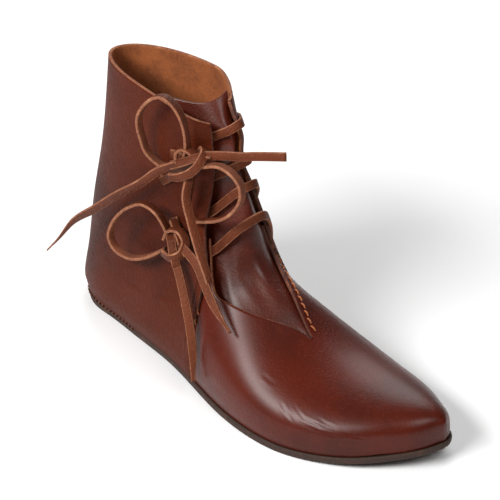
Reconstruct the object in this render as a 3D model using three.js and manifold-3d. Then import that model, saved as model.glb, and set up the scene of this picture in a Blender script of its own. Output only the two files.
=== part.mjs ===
// Costume boot: a right ankle boot of thin leather in an early pattern, laced on its outer side.
// Millimetres. +X points to the toe, +Y to the inner side of the foot, +Z up. The floor is z = 0.
import * as THREE from "three";
import { mergeVertices } from "three/addons/utils/BufferGeometryUtils.js";
import Module from "manifold-3d";

const wasm = await Module();
wasm.setup();

// Driving dimensions of the foot
const length = 280;
const ballWidth = 90;
const heelWidth = 67;
const instepHeight = 57;
const shaftHeight = 158;
const collarWidth = 43;
const heelCentre = 35;
const toeSpring = 9.5;
const archLift = 1.6;

// Driving dimensions of the pieces
const soleThickness = 4;
const soleMargin = 1.4;
const soleBevel = 1;
const leather = 2;
const quarterStep = 1.2;
const insoleThickness = 2;
const tongueThickness = 1.6;
const tongueOuterLap = 10;
const tongueInnerLap = 5;
const thongWidth = 5;
const thongThickness = 1.8;
const clearance = 0.3;
const laceClearance = 1.1;

// How finely the curved pieces are faceted
const stationCount = 46;
const sectionCount = 21;
const soleStations = 34;
const patchCount = 8;
const tongueStations = 27;
const tongueCount = 11;

// The sections of the last from the toe to the collar. Each leans from a foot point on the sole or
// the heel's back to a crest point on the vamp, the instep or the shaft's front. footX and crestX are
// shares of the length, footZ and crestZ of the row's height, the others of the row's width.
const widths = { ball: ballWidth, heel: heelWidth, collar: collarWidth };
const heights = { instep: instepHeight, shaft: shaftHeight };
const sectionColumns = [
  "width", "height", "footX", "footZ", "crestX", "crestZ", "swing",
  "flatOuter", "flatInner", "wideOuter", "wideInner", "wideAt", "domeOuter", "domeInner", "rise",
];
const sectionRows = [
  ["ball", "instep", 1.0, 0.1, 1.0, 0.2, 0.1, 0.01, 0.01, 0.014, 0.014, 0.5, 0.5, 0.5, 1.0],
  ["ball", "instep", 0.99, 0, 0.988, 0.27, 0.092, 0.105, 0.08, 0.11, 0.084, 0.45, 0.52, 0.52, 0.8],
  ["ball", "instep", 0.955, 0, 0.95, 0.38, 0.053, 0.225, 0.19, 0.233, 0.197, 0.42, 0.52, 0.52, 0.74],
  ["ball", "instep", 0.9, 0, 0.885, 0.48, 0.012, 0.35, 0.315, 0.362, 0.325, 0.38, 0.5, 0.5, 0.7],
  ["ball", "instep", 0.82, 0, 0.8, 0.58, -0.024, 0.457, 0.406, 0.472, 0.42, 0.34, 0.47, 0.47, 0.7],
  ["ball", "instep", 0.73, 0, 0.705, 0.735, -0.041, 0.518, 0.445, 0.532, 0.459, 0.3, 0.43, 0.43, 0.7],
  ["ball", "instep", 0.62, 0, 0.62, 0.993, -0.047, 0.506, 0.389, 0.528, 0.42, 0.28, 0.4, 0.4, 0.72],
  ["ball", "shaft", 0.5, 0, 0.548, 0.462, -0.047, 0.433, 0.304, 0.465, 0.375, 0.28, 0.38, 0.32, 0.75],
  ["ball", "shaft", 0.38, 0, 0.528, 0.575, -0.029, 0.365, 0.253, 0.415, 0.357, 0.28, 0.38, 0.28, 0.8],
  ["heel", "shaft", 0.26, 0, 0.505, 0.675, -0.019, 0.43, 0.364, 0.538, 0.503, 0.28, 0.38, 0.245, 0.85],
  ["heel", "shaft", 0.14, 0, 0.486, 0.755, 0, 0.388, 0.383, 0.506, 0.497, 0.28, 0.42, 0.135, 0.85],
  ["heel", "shaft", 0.05, 0, 0.479, 0.815, 0, 0.282, 0.277, 0.475, 0.471, 0.32, 0.46, 0.03, 0.62],
  ["heel", "shaft", 0.006, 0, 0.476, 0.845, 0, 0.103, 0.103, 0.435, 0.43, 0.36, 0.5, 0.07, 0.2],
  ["heel", "shaft", 0.006, 0.12, 0.471, 0.87, 0, 0, 0, 0.421, 0.469, 0.42, 0.52, 0.12, 0],
  ["collar", "shaft", 0.026, 0.35, 0.462, 0.9, 0, 0, 0, 0.611, 0.716, 0.48, 0.54, 0.17, 0],
  ["collar", "shaft", 0.06, 0.62, 0.448, 0.93, 0, 0, 0, 0.552, 0.668, 0.54, 0.645, 0.205, 0],
  ["collar", "shaft", 0.08, 0.85, 0.435, 0.955, 0, 0, 0, 0.503, 0.637, 0.58, 0.735, 0.24, 0],
  ["collar", "shaft", 0.09, 1.0, 0.424, 0.975, 0, 0, 0, 0.468, 0.61, 0.6, 0.82, 0.275, 0],
];

// The throat: at each place along the last, where its outer and inner edges run around the section.
// Both are shares, along 0 at the toe and 1 at the collar, around 0 and 1 at the sole, 0.5 at the crest.
const throatColumns = ["along", "outerEdge", "innerEdge"];
const throatRows = [
  [0.286, 0.480, 0.486],
  [0.306, 0.472, 0.492],
  [0.350, 0.439, 0.512],
  [0.400, 0.406, 0.545],
  [0.442, 0.383, 0.575],
  [0.486, 0.360, 0.592],
  [0.530, 0.366, 0.585],
  [0.580, 0.383, 0.568],
  [0.630, 0.401, 0.550],
  [0.690, 0.421, 0.541],
  [0.760, 0.421, 0.533],
  [0.870, 0.418, 0.515],
  [1.000, 0.419, 0.535],
];
const throatToe = throatRows[0][0];

// The quarters lap over the vamp from these upright seams back to the heel
const outerSeam = 0.479 * length - heelCentre;
const innerSeam = 0.518 * length - heelCentre;

// The lace bars over the tongue: from a hole in the outer quarter, under its edge, to the inner quarter
const barColumns = ["bow", "outerAlong", "outerAround", "edgeAlong", "edgeAround", "innerAlong", "innerAround"];
const barRows = [
  ["upper", 0.840, 0.339, 0.836, 0.423, 0.889, 0.600],
  ["upper", 0.775, 0.331, 0.691, 0.425, 0.738, 0.612],
  ["lower", 0.666, 0.356, 0.630, 0.400, 0.622, 0.610],
  ["lower", 0.613, 0.340, 0.560, 0.379, 0.548, 0.645],
];

// The knots on the outer quarter: the middle of each, and its half sizes along X, Y and Z
const knotColumns = ["bow", "x", "y", "z", "halfX", "halfY", "halfZ"];
const knotRows = [
  ["upper", 85, -25, 132, 7, 5, 7],
  ["lower", 77, -34, 81, 6, 4.5, 7],
];

// The loops and ends of the thongs, as points on their routes. turn is the angle of the thong's width
// from the way out of the boot's side, in degrees, about the thong's run.
const routeColumns = ["x", "y", "z", "turn"];
const cordRoutes = {
  lace_upper_loop_back: [
    [79, -26, 135, 0], [81, -26, 143, 0], [81, -27, 154, 0], [80, -29, 162, 0], [76, -30, 167, 0],
    [70, -31, 170, 0], [63, -32, 168, 0], [56, -33, 162, 0], [51, -34, 154, 0], [49, -33, 145, 0],
    [50, -32, 138, 0], [52, -31, 131, 0], [56, -29, 126, 0], [62, -28, 124, 0], [70, -27, 127, 0],
  ],
  lace_upper_loop_front: [
    [92, -25, 134, 0], [104, -23, 138, 0], [115, -23, 137, 0], [121, -23, 132, 0], [121, -23, 124, 0],
    [115, -24, 114, 0], [105, -25, 106, 0], [95, -27, 102, 0], [86, -29, 100, 0], [82, -28, 105, 0],
    [83, -27, 115, 0], [84, -26, 124, 0],
  ],
  lace_upper_end_back: [
    [78, -31, 132, 70], [65, -34, 124, 70], [52, -37, 112, 70], [36, -40, 100, 70],
    [17, -42, 84, 70], [-3, -43, 68, 70], [-17, -44, 51, 70], [-29, -44, 38, 70],
  ],
  lace_upper_end_front: [
    [91, -22, 139, 80], [103, -18, 142, 80], [111, -14, 143, 80], [118, -9, 144, 80], [131, 1, 145, 80],
  ],
  lace_upper_end_down: [
    [86, -30, 126, 20], [89, -35, 117, 20], [96, -38, 107, 20], [105, -41, 95, 20], [116, -43, 78, 20],
  ],
  lace_lower_loop: [
    [73, -34, 86, 0], [70, -36, 95, 0], [66, -38, 101, 0], [58, -40, 103, 0], [50, -42, 99, 0],
    [41, -43, 91, 0], [35, -44, 82, 0], [32, -44, 73, 0], [35, -43, 66, 0], [44, -42, 64, 0],
    [55, -41, 67, 0], [65, -38, 73, 0], [71, -36, 78, 0],
  ],
  lace_lower_end_long: [
    [80, -37, 76, 60], [89, -41, 68, 60], [96, -44, 58, 60], [103, -47, 45, 60], [107, -49, 31, 60],
    [109, -51, 14, 60],
  ],
  lace_lower_end_short: [
    [83, -35, 85, 60], [99, -37, 79, 60], [108, -39, 70, 60], [119, -41, 60, 60], [130, -41, 51, 60],
  ],
};

// Small helpers on plain vectors
const vec = (x, y, z) => new THREE.Vector3(x, y, z);
const clamp = (value, low, high) => Math.min(Math.max(value, low), high);
const mix = (a, b, t) => a + (b - a) * t;
const smooth = (t) => {
  const s = clamp(t, 0, 1);
  return s * s * (3 - 2 * s);
};

// A natural cubic spline through (knots, values), as a function of the knot's parameter
function spline(knots, values) {
  const last = knots.length - 1;
  const bend = new Array(last + 1).fill(0);
  const ratio = new Array(last + 1).fill(0);
  const part = new Array(last + 1).fill(0);
  for (let i = 1; i < last; i++) {
    const before = knots[i] - knots[i - 1];
    const after = knots[i + 1] - knots[i];
    const slopes = (values[i + 1] - values[i]) / after - (values[i] - values[i - 1]) / before;
    const pivot = 2 * (before + after) - before * ratio[i - 1];
    ratio[i] = after / pivot;
    part[i] = (6 * slopes - before * part[i - 1]) / pivot;
  }
  for (let i = last - 1; i > 0; i--) bend[i] = part[i] - ratio[i] * bend[i + 1];
  return (at) => {
    let i = 0;
    while (i < last - 1 && at >= knots[i + 1]) i += 1;
    const span = knots[i + 1] - knots[i];
    const a = (knots[i + 1] - at) / span;
    const b = (at - knots[i]) / span;
    const curve = (a ** 3 - a) * bend[i] + (b ** 3 - b) * bend[i + 1];
    return a * values[i] + b * values[i + 1] + (curve * span * span) / 6;
  };
}

// A point on a cubic Bezier curve in the plane
function bezier(p0, p1, p2, p3, t) {
  const s = 1 - t;
  const weights = [s ** 3, 3 * s * s * t, 3 * s * t * t, t ** 3];
  const x = weights[0] * p0[0] + weights[1] * p1[0] + weights[2] * p2[0] + weights[3] * p3[0];
  const y = weights[0] * p0[1] + weights[1] * p1[1] + weights[2] * p2[1] + weights[3] * p3[1];
  return [x, y];
}

// The section table in millimetres
function sectionInMillimetres(row) {
  const cell = Object.fromEntries(sectionColumns.map((name, k) => [name, row[k]]));
  const width = widths[cell.width];
  const height = heights[cell.height];
  return {
    footX: cell.footX * length - heelCentre,
    footZ: cell.footZ * height,
    crestX: cell.crestX * length - heelCentre,
    crestZ: cell.crestZ * height,
    swing: cell.swing * width,
    flatOuter: cell.flatOuter * width,
    flatInner: cell.flatInner * width,
    wideOuter: cell.wideOuter * width,
    wideInner: cell.wideInner * width,
    wideAt: cell.wideAt,
    domeOuter: cell.domeOuter,
    domeInner: cell.domeInner,
    rise: cell.rise,
  };
}

// The sections' place along the last, by the distance between their middles
const sections = sectionRows.map(sectionInMillimetres);
const girthShare = 0.35;
function stepBetween(a, b) {
  const x = (b.footX + b.crestX - a.footX - a.crestX) / 2;
  const z = (b.footZ + b.crestZ - a.footZ - a.crestZ) / 2;
  const girth = (b.wideOuter + b.wideInner - a.wideOuter - a.wideInner) * girthShare;
  return Math.hypot(x, z, girth);
}
const distances = [0];
for (let i = 1; i < sections.length; i++) {
  distances.push(distances[i - 1] + stepBetween(sections[i - 1], sections[i]));
}
const sectionKnots = distances.map((d) => d / distances[sections.length - 1]);
const sectionCurves = {};
for (const name of Object.keys(sections[0])) {
  sectionCurves[name] = spline(sectionKnots, sections.map((section) => section[name]));
}

// How far the sole lies above the floor: flat at the heel and ball, a low arch, and the toe spring
const springStart = 0.74;
const archStart = 0.2;
const archEnd = 0.6;
const springReach = 1.1;
function lift(x) {
  const share = (x + heelCentre) / length;
  const spring = clamp((share - springStart) / (1 - springStart), 0, springReach) ** 2 * toeSpring;
  const arch = Math.sin(Math.PI * clamp((share - archStart) / (archEnd - archStart), 0, 1)) ** 2 * archLift;
  return spring + arch;
}
const featherHeight = soleThickness + clearance;
const featherAt = (x) => featherHeight + lift(x);

// The section at a place along the last
function sectionAt(along) {
  const cut = {};
  for (const name of Object.keys(sectionCurves)) cut[name] = sectionCurves[name](clamp(along, 0, 1));
  for (const name of ["footZ", "flatOuter", "flatInner"]) cut[name] = Math.max(cut[name], 0);
  cut.rise = clamp(cut.rise, 0, 1);
  cut.footZ += featherAt(cut.footX);
  cut.crestZ += featherAt(cut.crestX);
  return cut;
}

// A point on one half of a section: from the sole's edge to the widest point, and over to the crest
const sideHandle = 0.45;
const flare = 0.55;
const flareOverRise = 0.35;
const shoulderHandle = 1.1;
function halfSection(flat, wide, dome, tall, cut, share) {
  const widest = cut.wideAt * tall;
  const bulge = Math.max(wide - flat, 0);
  if (share < 0.5) {
    const lower = [flat + bulge * (flare + flareOverRise * cut.rise), widest * sideHandle * cut.rise];
    return bezier([flat, 0], lower, [wide, widest * sideHandle], [wide, widest], share * 2);
  }
  const upright = [wide, widest + (tall - widest) * dome * shoulderHandle];
  return bezier([wide, widest], upright, [wide * dome, tall], [0, tall], share * 2 - 1);
}

// A point on the last's outer surface, by its place along the last and around the section
function lastPoint(along, around, cut = sectionAt(along)) {
  const outer = around < 0.5;
  const flat = outer ? cut.flatOuter : cut.flatInner;
  const wide = outer ? cut.wideOuter : cut.wideInner;
  const dome = outer ? cut.domeOuter : cut.domeInner;
  const leanX = cut.crestX - cut.footX;
  const leanZ = cut.crestZ - cut.footZ;
  const tall = Math.hypot(leanX, leanZ);
  const [out, up] = halfSection(flat, Math.max(wide, 0), dome, tall, cut, 1 - Math.abs(2 * around - 1));
  const side = outer ? -1 : 1;
  return vec(cut.footX + (leanX * up) / tall, cut.swing + side * out, cut.footZ + (leanZ * up) / tall);
}

// The direction out of the last at a place on it
const probe = 0.002;
const pointed = 0.01;
function outwards(along, around) {
  const cut = sectionAt(along);
  const closed = cut.flatOuter + cut.flatInner < pointed;
  const back = Math.max(along - probe, 0);
  const ahead = Math.min(along + probe, 1);
  let low = around - probe;
  let high = around + probe;
  if (low < 0) low = closed ? low + 1 : 0;
  if (high > 1) high = closed ? high - 1 : 1;
  const lengthwise = lastPoint(ahead, around).sub(lastPoint(back, around));
  const crosswise = lastPoint(along, high, cut).sub(lastPoint(along, low, cut));
  return crosswise.cross(lengthwise).normalize();
}

// A point a given depth inside the last's surface, or outside it where the depth is negative
function skin(along, around, depth) {
  const point = lastPoint(along, around);
  const moved = point.clone().addScaledVector(outwards(along, around), -depth);
  if (depth < 0) moved.z = Math.max(moved.z, featherAt(moved.x));
  return moved;
}

// A closed mesh as a solid, with doubled vertices and empty triangles taken out
const weld = 1e-3;
function toSolid(geometry) {
  const bare = new THREE.BufferGeometry();
  bare.setAttribute("position", geometry.getAttribute("position"));
  if (geometry.index) bare.setIndex(geometry.index);
  const merged = mergeVertices(bare, weld);
  const position = merged.getAttribute("position");
  const index = merged.index.array;
  const kept = [];
  let volume = 0;
  const corners = [vec(0, 0, 0), vec(0, 0, 0), vec(0, 0, 0)];
  for (let i = 0; i < index.length; i += 3) {
    const [a, b, c] = [index[i], index[i + 1], index[i + 2]];
    if (a === b || b === c || c === a) continue;
    kept.push(a, b, c);
    corners.forEach((corner, k) => corner.fromBufferAttribute(position, index[i + k]));
    volume += corners[0].dot(corners[1].clone().cross(corners[2]));
  }
  if (volume < 0) {
    for (let i = 0; i < kept.length; i += 3) [kept[i], kept[i + 1]] = [kept[i + 1], kept[i]];
  }
  const mesh = new wasm.Mesh({
    numProp: 3,
    vertProperties: new Float32Array(position.array),
    triVerts: new Uint32Array(kept),
  });
  return new wasm.Manifold(mesh);
}

// The largest of a solid's parts, without the crumbs that its cuts leave
const largest = (solid) => solid.decompose().sort((a, b) => b.volume() - a.volume())[0];

// A closed body through loops of equal count. A fan closes each end, or a strip where the body is a sheet.
function loft(loops, sheet = false) {
  const count = loops[0].length;
  const points = loops.flat();
  const triangles = [];
  for (let i = 0; i < loops.length - 1; i++) {
    for (let j = 0; j < count; j++) {
      const next = (j + 1) % count;
      const [a, b] = [i * count + j, i * count + next];
      triangles.push(a, b, b + count, a, b + count, a + count);
    }
  }
  for (const [row, flip] of [[0, true], [loops.length - 1, false]]) {
    if (sheet) {
      for (let j = 0; j < count / 2 - 1; j++) {
        const [a, b] = [row * count + j, row * count + j + 1];
        const [c, d] = [(row + 1) * count - 2 - j, (row + 1) * count - 1 - j];
        triangles.push(...(flip ? [c, b, a, d, c, a] : [a, b, c, a, c, d]));
      }
      continue;
    }
    const centre = loops[row].reduce((sum, p) => sum.add(p), vec(0, 0, 0)).divideScalar(count);
    points.push(centre);
    const hub = points.length - 1;
    for (let j = 0; j < count; j++) {
      const [a, b] = [row * count + j, row * count + ((j + 1) % count)];
      triangles.push(...(flip ? [hub, b, a] : [hub, a, b]));
    }
  }
  const geometry = new THREE.BufferGeometry();
  geometry.setAttribute("position", new THREE.Float32BufferAttribute(points.flatMap((p) => p.toArray()), 3));
  geometry.setIndex(triangles);
  return toSolid(geometry);
}

// Evenly spaced values from one number to another
function steps(from, to, count) {
  return Array.from({ length: count }, (_, i) => mix(from, to, i / (count - 1)));
}

// The places along the last and around it that every piece of the upper shares. They gather at the toe,
// at the crest and at the sole's edge.
const toeGather = 1.35;
const crestGather = 0.025;
const stationShares = steps(0, 1, stationCount).map((share) => share ** toeGather);
const aroundShares = steps(0, 1, sectionCount).map((share) => share - crestGather * Math.sin(4 * Math.PI * share));

// The last from a station to the collar, grown or shrunk by a depth that can vary over it
function lastBody(first, depthAt, raise = 0) {
  const loops = stationShares.slice(first).map((along) => aroundShares.map((around) => {
    return skin(along, around, depthAt(around, along));
  }));
  if (raise > 0) loops.push(loops[loops.length - 1].map((p) => p.clone().add(vec(0, 0, raise))));
  return loft(loops);
}

// A place on the facets of the last at a depth under them, and the way out there
function facet(along, around, depth) {
  const spot = (shares, share) => {
    let i = 0;
    while (i < shares.length - 2 && share >= shares[i + 1]) i += 1;
    return [i, (share - shares[i]) / (shares[i + 1] - shares[i])];
  };
  const [i, ahead] = spot(stationShares, along);
  const [j, over] = spot(aroundShares, around);
  const corner = (a, b) => skin(stationShares[i + a], aroundShares[j + b], 0);
  const far = corner(1, 1);
  const near = corner(0, 0);
  const side = over > ahead ? corner(0, 1) : corner(1, 0);
  const [nearShare, farShare] = [1 - Math.max(over, ahead), Math.min(over, ahead)];
  const at = vec(0, 0, 0).addScaledVector(near, nearShare).addScaledVector(far, farShare)
    .addScaledVector(side, Math.abs(over - ahead));
  const normal = side.clone().sub(near).cross(far.clone().sub(near)).normalize();
  const out = normal.dot(outwards(along, around)) < 0 ? normal.negate() : normal;
  return { at: at.addScaledVector(out, -depth), out };
}

// The sole's outline, moved out or in by a margin: its outer and inner edge at each station
const soleStart = 0.004;
const soleEnd = sectionKnots[sectionRows.findLastIndex((row) => row[sectionColumns.indexOf("flatOuter")] > 0) + 1];
const narrowestSole = 1;
function outlineEdges(margin) {
  const cuts = steps(0, 1, soleStations).map((share) => sectionAt(mix(soleStart, soleEnd, share ** toeGather)))
    .filter((cut) => cut.flatOuter > 0);
  const edge = (side) => {
    const points = cuts.map((cut) => {
      const out = side < 0 ? cut.flatOuter : cut.flatInner;
      return new THREE.Vector2(cut.footX, cut.swing + side * out);
    });
    return points.map((point, i) => {
      const before = points[Math.max(i - 1, 0)];
      const after = points[Math.min(i + 1, points.length - 1)];
      const along = after.clone().sub(before).normalize();
      const out = new THREE.Vector2(along.y, -along.x).multiplyScalar(side);
      return point.clone().addScaledVector(out, margin);
    });
  };
  const [outer, inner] = [edge(-1), edge(1)];
  return outer.map((point, i) => [point, inner[i]]).filter(([a, b]) => b.y - a.y > narrowestSole);
}

// A flat piece that follows the sole's bend, between two heights above the sole's underside
function soleSheet(margin, low, high, bevel) {
  const at = (point, z) => vec(point.x, point.y, z + lift(point.x));
  const inset = (from, towards, by) => {
    const step = towards.clone().sub(from);
    return from.clone().addScaledVector(step, by / Math.max(step.length(), 2 * by));
  };
  const loops = outlineEdges(margin).map(([outer, inner]) => {
    const outerIn = inset(outer, inner, bevel);
    const innerIn = inset(inner, outer, bevel);
    return [
      at(outerIn, low), at(outer, low + bevel), at(outer, high - bevel), at(outerIn, high),
      at(innerIn, high), at(inner, high - bevel), at(inner, low + bevel), at(innerIn, low),
    ];
  });
  return loft(loops);
}

// Where the throat's edges run at a place along the last
const throatKnots = throatRows.map((row) => row[0]);
const outerEdgeAt = spline(throatKnots, throatRows.map((row) => row[throatColumns.indexOf("outerEdge")]));
const innerEdgeAt = spline(throatKnots, throatRows.map((row) => row[throatColumns.indexOf("innerEdge")]));

// A strip of the last between two depths, whose edges are functions of the place along it
function patch(from, to, outerEdge, innerEdge, top, bottom, raise = 0) {
  const loops = steps(from, to, stationCount / 2).map((along) => {
    const places = steps(outerEdge(along), innerEdge(along), patchCount);
    const upper = places.map((around) => skin(along, around, top(around, along)));
    const lower = places.map((around) => skin(along, around, bottom(around, along)));
    return [...upper, ...lower.reverse()];
  });
  if (raise > 0) loops.push(loops[loops.length - 1].map((p) => p.clone().add(vec(0, 0, raise))));
  return loft(loops);
}

// The share around a section that a length takes on the wall there
function aroundFor(along, around, distance) {
  const here = lastPoint(along, around);
  const there = lastPoint(along, around + probe);
  return (distance * probe) / here.distanceTo(there);
}

// Depths of the lace and the tongue under the last's surface
const overDepth = -(quarterStep + laceClearance + thongThickness / 2);
const underDepth = leather + laceClearance + thongThickness / 2;
const runSpare = 0.6;
const runDepth = underDepth + runSpare;
const tongueInnerDepth = leather + 2 * clearance;
const tongueOuterDepth = underDepth + thongThickness / 2 + laceClearance;
const sinkRate = 1.15;
function tongueDepth(around, along) {
  const share = (around - outerEdgeAt(along)) / (innerEdgeAt(along) - outerEdgeAt(along));
  return mix(tongueOuterDepth, tongueInnerDepth, smooth(share * sinkRate));
}

// A grid of points, rows by columns, moved in along its own normals by a depth at each point
function sunk(grid, depthAt) {
  const at = (i, j) => grid[clamp(i, 0, grid.length - 1)][clamp(j, 0, grid[0].length - 1)];
  return grid.map((row, i) => row.map((point, j) => {
    const lengthwise = at(i + 1, j).clone().sub(at(i - 1, j));
    const crosswise = at(i, j + 1).clone().sub(at(i, j - 1));
    return point.clone().addScaledVector(crosswise.cross(lengthwise).normalize(), -depthAt(i, j));
  }));
}

// A row of points with its corners eased, its two ends held. reach is the share taken from each neighbour.
const easePasses = 6;
function eased(row, reach) {
  let points = row;
  for (let pass = 0; pass < easePasses; pass++) {
    points = points.map((point, i) => {
      if (i === 0 || i === points.length - 1) return point;
      const beside = points[i - 1].clone().add(points[i + 1]);
      return beside.multiplyScalar(reach).addScaledVector(point, 1 - 2 * reach);
    });
  }
  return points;
}

// The tongue: a sheet under the throat, lapped by the vamp and both quarters. Its rows follow the last's
// facets and are eased across, most of all over the shaft's sharp front. Its top leans back.
const tongueReach = 0.03;
const tongueStart = throatToe - tongueReach;
const tongueEnd = 0.995;
const tongueLean = 6;
const leanStart = 0.76;
const easeStart = 0.58;
const easeEnd = 0.72;
const lowEasing = 0.06;
const highEasing = 0.25;
function tongue() {
  const places = steps(tongueStart, tongueEnd, tongueStations).map((along) => {
    const outer = outerEdgeAt(along) - aroundFor(along, outerEdgeAt(along), tongueOuterLap);
    const inner = innerEdgeAt(along) + aroundFor(along, innerEdgeAt(along), tongueInnerLap);
    const reach = mix(lowEasing, highEasing, smooth((along - easeStart) / (easeEnd - easeStart)));
    return { along, reach, arounds: steps(outer, inner, tongueCount) };
  });
  const skinned = places.map(({ along, reach, arounds }) => {
    const lean = vec(-tongueLean * smooth((along - leanStart) / (1 - leanStart)), 0, 0);
    return eased(arounds.map((around) => facet(along, around, 0).at.add(lean)), reach);
  });
  const above = sunk(skinned, (i, j) => tongueDepth(places[i].arounds[j], places[i].along))
    .map((row, i) => eased(row, places[i].reach));
  const below = sunk(above, () => tongueThickness);
  return loft(above.map((row, i) => [...row, ...below[i].reverse()]), true);
}

// The frame at a place on the last: the point, the way out, the lace's run there and the way across it
function holeFrame(along, around, towards) {
  const { at: point, out } = facet(along, around, 0);
  const run = towards.clone().sub(point);
  run.addScaledVector(out, -run.dot(out)).normalize();
  return { point, out, run, across: out.clone().cross(run) };
}

// A flat strap swept along points, each with the direction across its width
function strap(path, width, thickness, corner = 0) {
  const loops = path.map(({ at, across }, i) => {
    const before = path[Math.max(i - 1, 0)].at;
    const after = path[Math.min(i + 1, path.length - 1)].at;
    const along = after.clone().sub(before).normalize();
    const wide = across.clone().addScaledVector(along, -across.dot(along)).normalize();
    const thick = wide.clone().cross(along);
    const share = path[i].taper ?? 1;
    const [w, t] = [(width / 2) * share, thickness / 2];
    const round = corner > 0
      ? [[w, t - corner], [w - corner, t], [corner - w, t], [-w, t - corner],
        [-w, corner - t], [corner - w, -t], [w - corner, -t], [w, corner - t]]
      : [[w, t], [-w, t], [-w, -t], [w, -t]];
    return round.map(([a, b]) => at.clone().addScaledVector(wide, a).addScaledVector(thick, b));
  });
  return loft(loops);
}

// The pass of a lace through a hole, on an arc in the plane of its run
const passRadius = (underDepth - overDepth) / 2;
const passMiddle = (underDepth + overDepth) / 2;
const arcSteps = 7;
const bendSteps = 4;
const innerTurn = 0.72;
function outerPass(frame) {
  return steps(0, Math.PI, arcSteps).map((angle) => ({
    at: frame.point.clone()
      .addScaledVector(frame.run, -Math.sin(angle) * passRadius)
      .addScaledVector(frame.out, Math.cos(angle) * passRadius - passMiddle),
    across: frame.across,
  }));
}
function innerPass(frame) {
  const radius = passRadius * innerTurn;
  const points = [];
  for (const angle of steps(0, Math.PI / 2, bendSteps)) {
    points.push([radius * Math.sin(angle) - radius, passRadius - radius + radius * Math.cos(angle)]);
  }
  for (const angle of steps(0, Math.PI / 2, bendSteps)) {
    points.push([radius - radius * Math.cos(angle), radius - passRadius - radius * Math.sin(angle)]);
  }
  return points.map(([ahead, up]) => ({
    at: frame.point.clone().addScaledVector(frame.run, ahead).addScaledVector(frame.out, up - passMiddle),
    across: frame.across,
  }));
}

// One lace bar: out of the knot, through the outer quarter, under its edge, over the tongue and in
const barSteps = 24;
const bars = barRows.map((row) => Object.fromEntries(barColumns.map((name, k) => [name, row[k]])));
function barFrames(bar) {
  const edge = lastPoint(bar.edgeAlong, bar.edgeAround);
  const outer = holeFrame(bar.outerAlong, bar.outerAround, edge);
  const inner = holeFrame(bar.innerAlong, bar.innerAround, edge);
  inner.run.negate();
  inner.across.negate();
  return { outer, inner };
}
function knotLead(bar, width, thickness) {
  const { outer } = barFrames(bar);
  const hole = outer.point.clone().addScaledVector(outer.out, -overDepth);
  const run = hole.clone().sub(knotCentre(bar.bow));
  run.addScaledVector(outer.out, -run.dot(outer.out)).normalize();
  const across = outer.out.clone().cross(run);
  const near = hole.clone().addScaledVector(run, -thongWidth / 2);
  const far = hole.clone().addScaledVector(run, thongWidth / 2);
  return strap([knotCentre(bar.bow), near, far].map((at) => ({ at, across })), width, thickness);
}
const edgePlace = 0.36;
const riseShare = 0.09;
const barEnds = 0.05;
function barPath(bar) {
  const { outer, inner } = barFrames(bar);
  const knots = [0, edgePlace, 1];
  const along = spline(knots, [bar.outerAlong, bar.edgeAlong, bar.innerAlong]);
  const around = spline(knots, [bar.outerAround, bar.edgeAround, bar.innerAround]);
  const middle = steps(barEnds, 1 - barEnds, barSteps).map((share) => {
    const past = (around(share) - outerEdgeAt(along(share))) / riseShare;
    const depth = mix(underDepth, overDepth, smooth(past));
    const { at, out } = facet(along(share), around(share), depth);
    const ahead = facet(along(share + probe), around(share + probe), depth).at.sub(at);
    return { at, across: out.clone().cross(ahead).normalize() };
  });
  return [...outerPass(outer), ...middle, ...innerPass(inner)];
}

// The two bars of a bow, joined inside the inner quarter by the run between their holes
const runSteps = 13;
const runReach = 0.08;
function lace(bow, margin = 0) {
  const pair = bars.filter((bar) => bar.bow === bow);
  const [wide, thick] = [thongWidth + 2 * margin, thongThickness + 2 * margin];
  const solids = pair.map((bar) => strap(barPath(bar), wide, thick).add(knotLead(bar, wide, thick)));
  const run = steps(-runReach, 1 + runReach, runSteps).map((share) => {
    const along = mix(pair[0].innerAlong, pair[1].innerAlong, share);
    const around = mix(pair[0].innerAround, pair[1].innerAround, share);
    const { at, out } = facet(along, around, runDepth);
    const ahead = facet(along - probe, around, runDepth).at.sub(at);
    return { at, across: out.clone().cross(ahead).normalize() };
  });
  return solids[0].add(solids[1]).add(strap(run, wide, thick));
}

// The knots, and the room that each thong leaves around them
const knots = knotRows.map((row) => Object.fromEntries(knotColumns.map((name, k) => [name, row[k]])));
function knotCentre(bow) {
  const knot = knots.find((one) => one.bow === bow);
  return vec(knot.x, knot.y, knot.z);
}
const knotRings = 8;
const knotSides = 12;
function knotBody(bow, margin) {
  const knot = knots.find((one) => one.bow === bow);
  const ball = new THREE.SphereGeometry(1, knotSides, knotRings);
  ball.scale(knot.halfX + margin, knot.halfY + margin, knot.halfZ + margin);
  ball.translate(knot.x, knot.y, knot.z);
  return toSolid(ball);
}

// A thong along a hand-chosen route
const outerSide = vec(0.22, -0.975, 0).normalize();
const routeStep = 6;
function route(rows) {
  const points = rows.map((row) => vec(row[0], row[1], row[2]));
  const turns = rows.map((row) => THREE.MathUtils.degToRad(row[routeColumns.indexOf("turn")]));
  const curve = new THREE.CatmullRomCurve3(points, false, "centripetal");
  const count = Math.ceil(curve.getLength() / routeStep) + 1;
  return steps(0, 1, count).map((share) => {
    const run = curve.getTangentAt(share);
    const side = outerSide.clone().addScaledVector(run, -outerSide.dot(run)).normalize();
    const turn = turns[Math.round(share * (turns.length - 1))];
    const across = side.multiplyScalar(Math.cos(turn)).addScaledVector(run.clone().cross(side), Math.sin(turn));
    return { at: curve.getPointAt(share), across };
  });
}

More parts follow.
